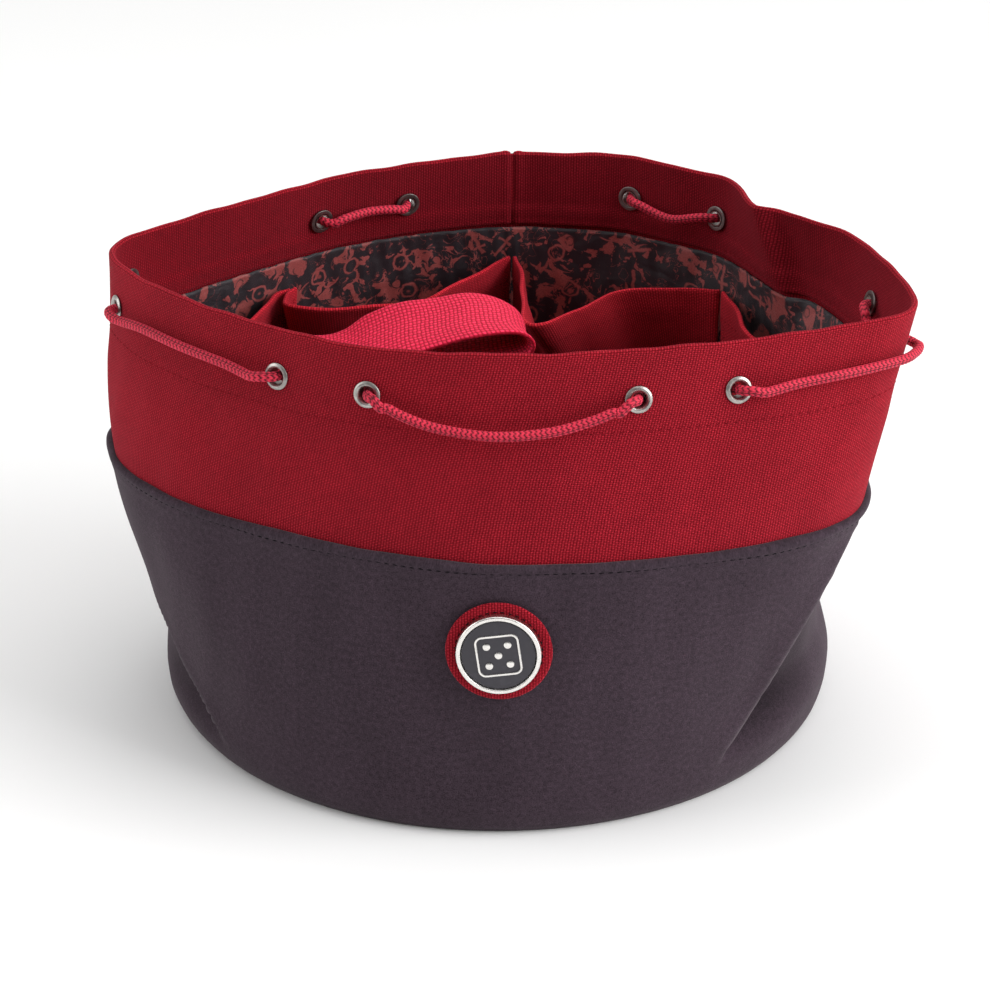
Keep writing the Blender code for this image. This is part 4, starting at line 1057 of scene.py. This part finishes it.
# ---------------------------------------------------------------- badge
def linework(place):
    """Raised lines: a die's face, a rounded square with five pips."""
    build = bmesh.new()
    half, corner, line, high, pip = 0.0068, 0.0022, 0.00042, 0.00040, 0.0034
    loop = []
    for cx, cy, first in ((1, 1, 0), (-1, 1, 90), (-1, -1, 180), (1, -1, 270)):
        for a in np.radians(np.linspace(first, first + 90, 9)):
            loop.append((cx * (half - corner) + corner * math.cos(a), cy * (half - corner) + corner * math.sin(a),
                         math.cos(a), math.sin(a)))
    rings = [[build.verts.new((x + nx * off, y + ny * off, z)) for x, y, nx, ny in loop]
             for off, z in ((-line, 0.0), (-line * 0.7, high), (line * 0.7, high), (line, 0.0))]
    for a, b in zip(rings, rings[1:]):
        bridge(build, a, b)
    turn = TAU * np.arange(20) / 20
    for px, py in ((0, 0), (pip, pip), (-pip, pip), (pip, -pip), (-pip, -pip)):
        rings = [[build.verts.new((px + r * math.cos(t), py + r * math.sin(t), z)) for t in turn]
                 for r, z in ((0.00125, 0.0), (0.00120, high * 0.7), (0.0009, high), (0.0004, high * 1.12))]
        for a, b in zip(rings, rings[1:]):
            bridge(build, a, b)
        build.faces.new(rings[-1])
    return finished("badge_linework", build, place @ Matrix.Rotation(math.radians(8), 4, "Z"), BRIGHT, 50)


def make_badge():
    face = wall_frame(BADGE_ARC, BADGE_HEIGHT, GAP + SUEDE + GAP + 0.0002)
    patch, metal, steps = BADGE_PATCH / 2, BADGE_METAL / 2, 96
    rim = metal - 0.0016

    def raised(height):
        return face @ Matrix.Translation((0, 0, height))

    profile = rounded([(0, 0.0), (patch - 0.0004, 0.0), (patch, 0.0006), (patch - 0.0006, 0.00135),
                       (patch - 0.0024, 0.00150), (patch - 0.0032, 0.00128), (patch - 0.0040, 0.00135),
                       (0, 0.00135)], 0.0005)
    link(lathe("badge_cloth", profile, RED, steps, face), "canvas", "badge_patch")
    radius = patch - 0.0032
    path = np.array([face @ Vector((radius * math.cos(t), radius * math.sin(t), 0.0014))
                     for t in np.linspace(0, TAU, 400)])
    up = np.tile(np.array(face.col[2].xyz), (len(path), 1))
    link(stitches("badge_stitching", path, up, BADGE_STITCH, THREAD_DARK), "canvas")
    profile = rounded([(0, 0.0), (metal - 0.0003, 0.0), (metal, 0.0004), (metal, 0.0022), (metal - 0.0003, 0.0027),
                       (rim + 0.00015, 0.0027), (rim - 0.0001, 0.0018), (0, 0.0018)], 0.00025)
    link(lathe("badge_medal", profile, BRIGHT, steps, raised(0.0015)), "badge_metal", "badge_medallion")
    profile = rounded([(0, 0.0), (rim - GAP, 0.0), (rim - GAP, 0.00028), (0, 0.0003)], 0.0001)
    link(lathe("badge_enamel", profile, ENAMEL, steps, raised(0.0034)), "badge_enamel", "badge_infill")
    link(linework(raised(0.0034 + 0.00029)), "badge_metal")


for make in (make_canvas, make_suede, make_lining, make_floor, make_eyelets, make_pockets, make_strap, make_badge):
    make()

for node, made in (("base_board", BOARD), ("cord_lock_body", BLACK), ("cord_lock_button", BLACK),
                   ("cord_lock_spring", STEEL)):
    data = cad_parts[node].data
    data.materials.clear()
    data.materials.append(made)
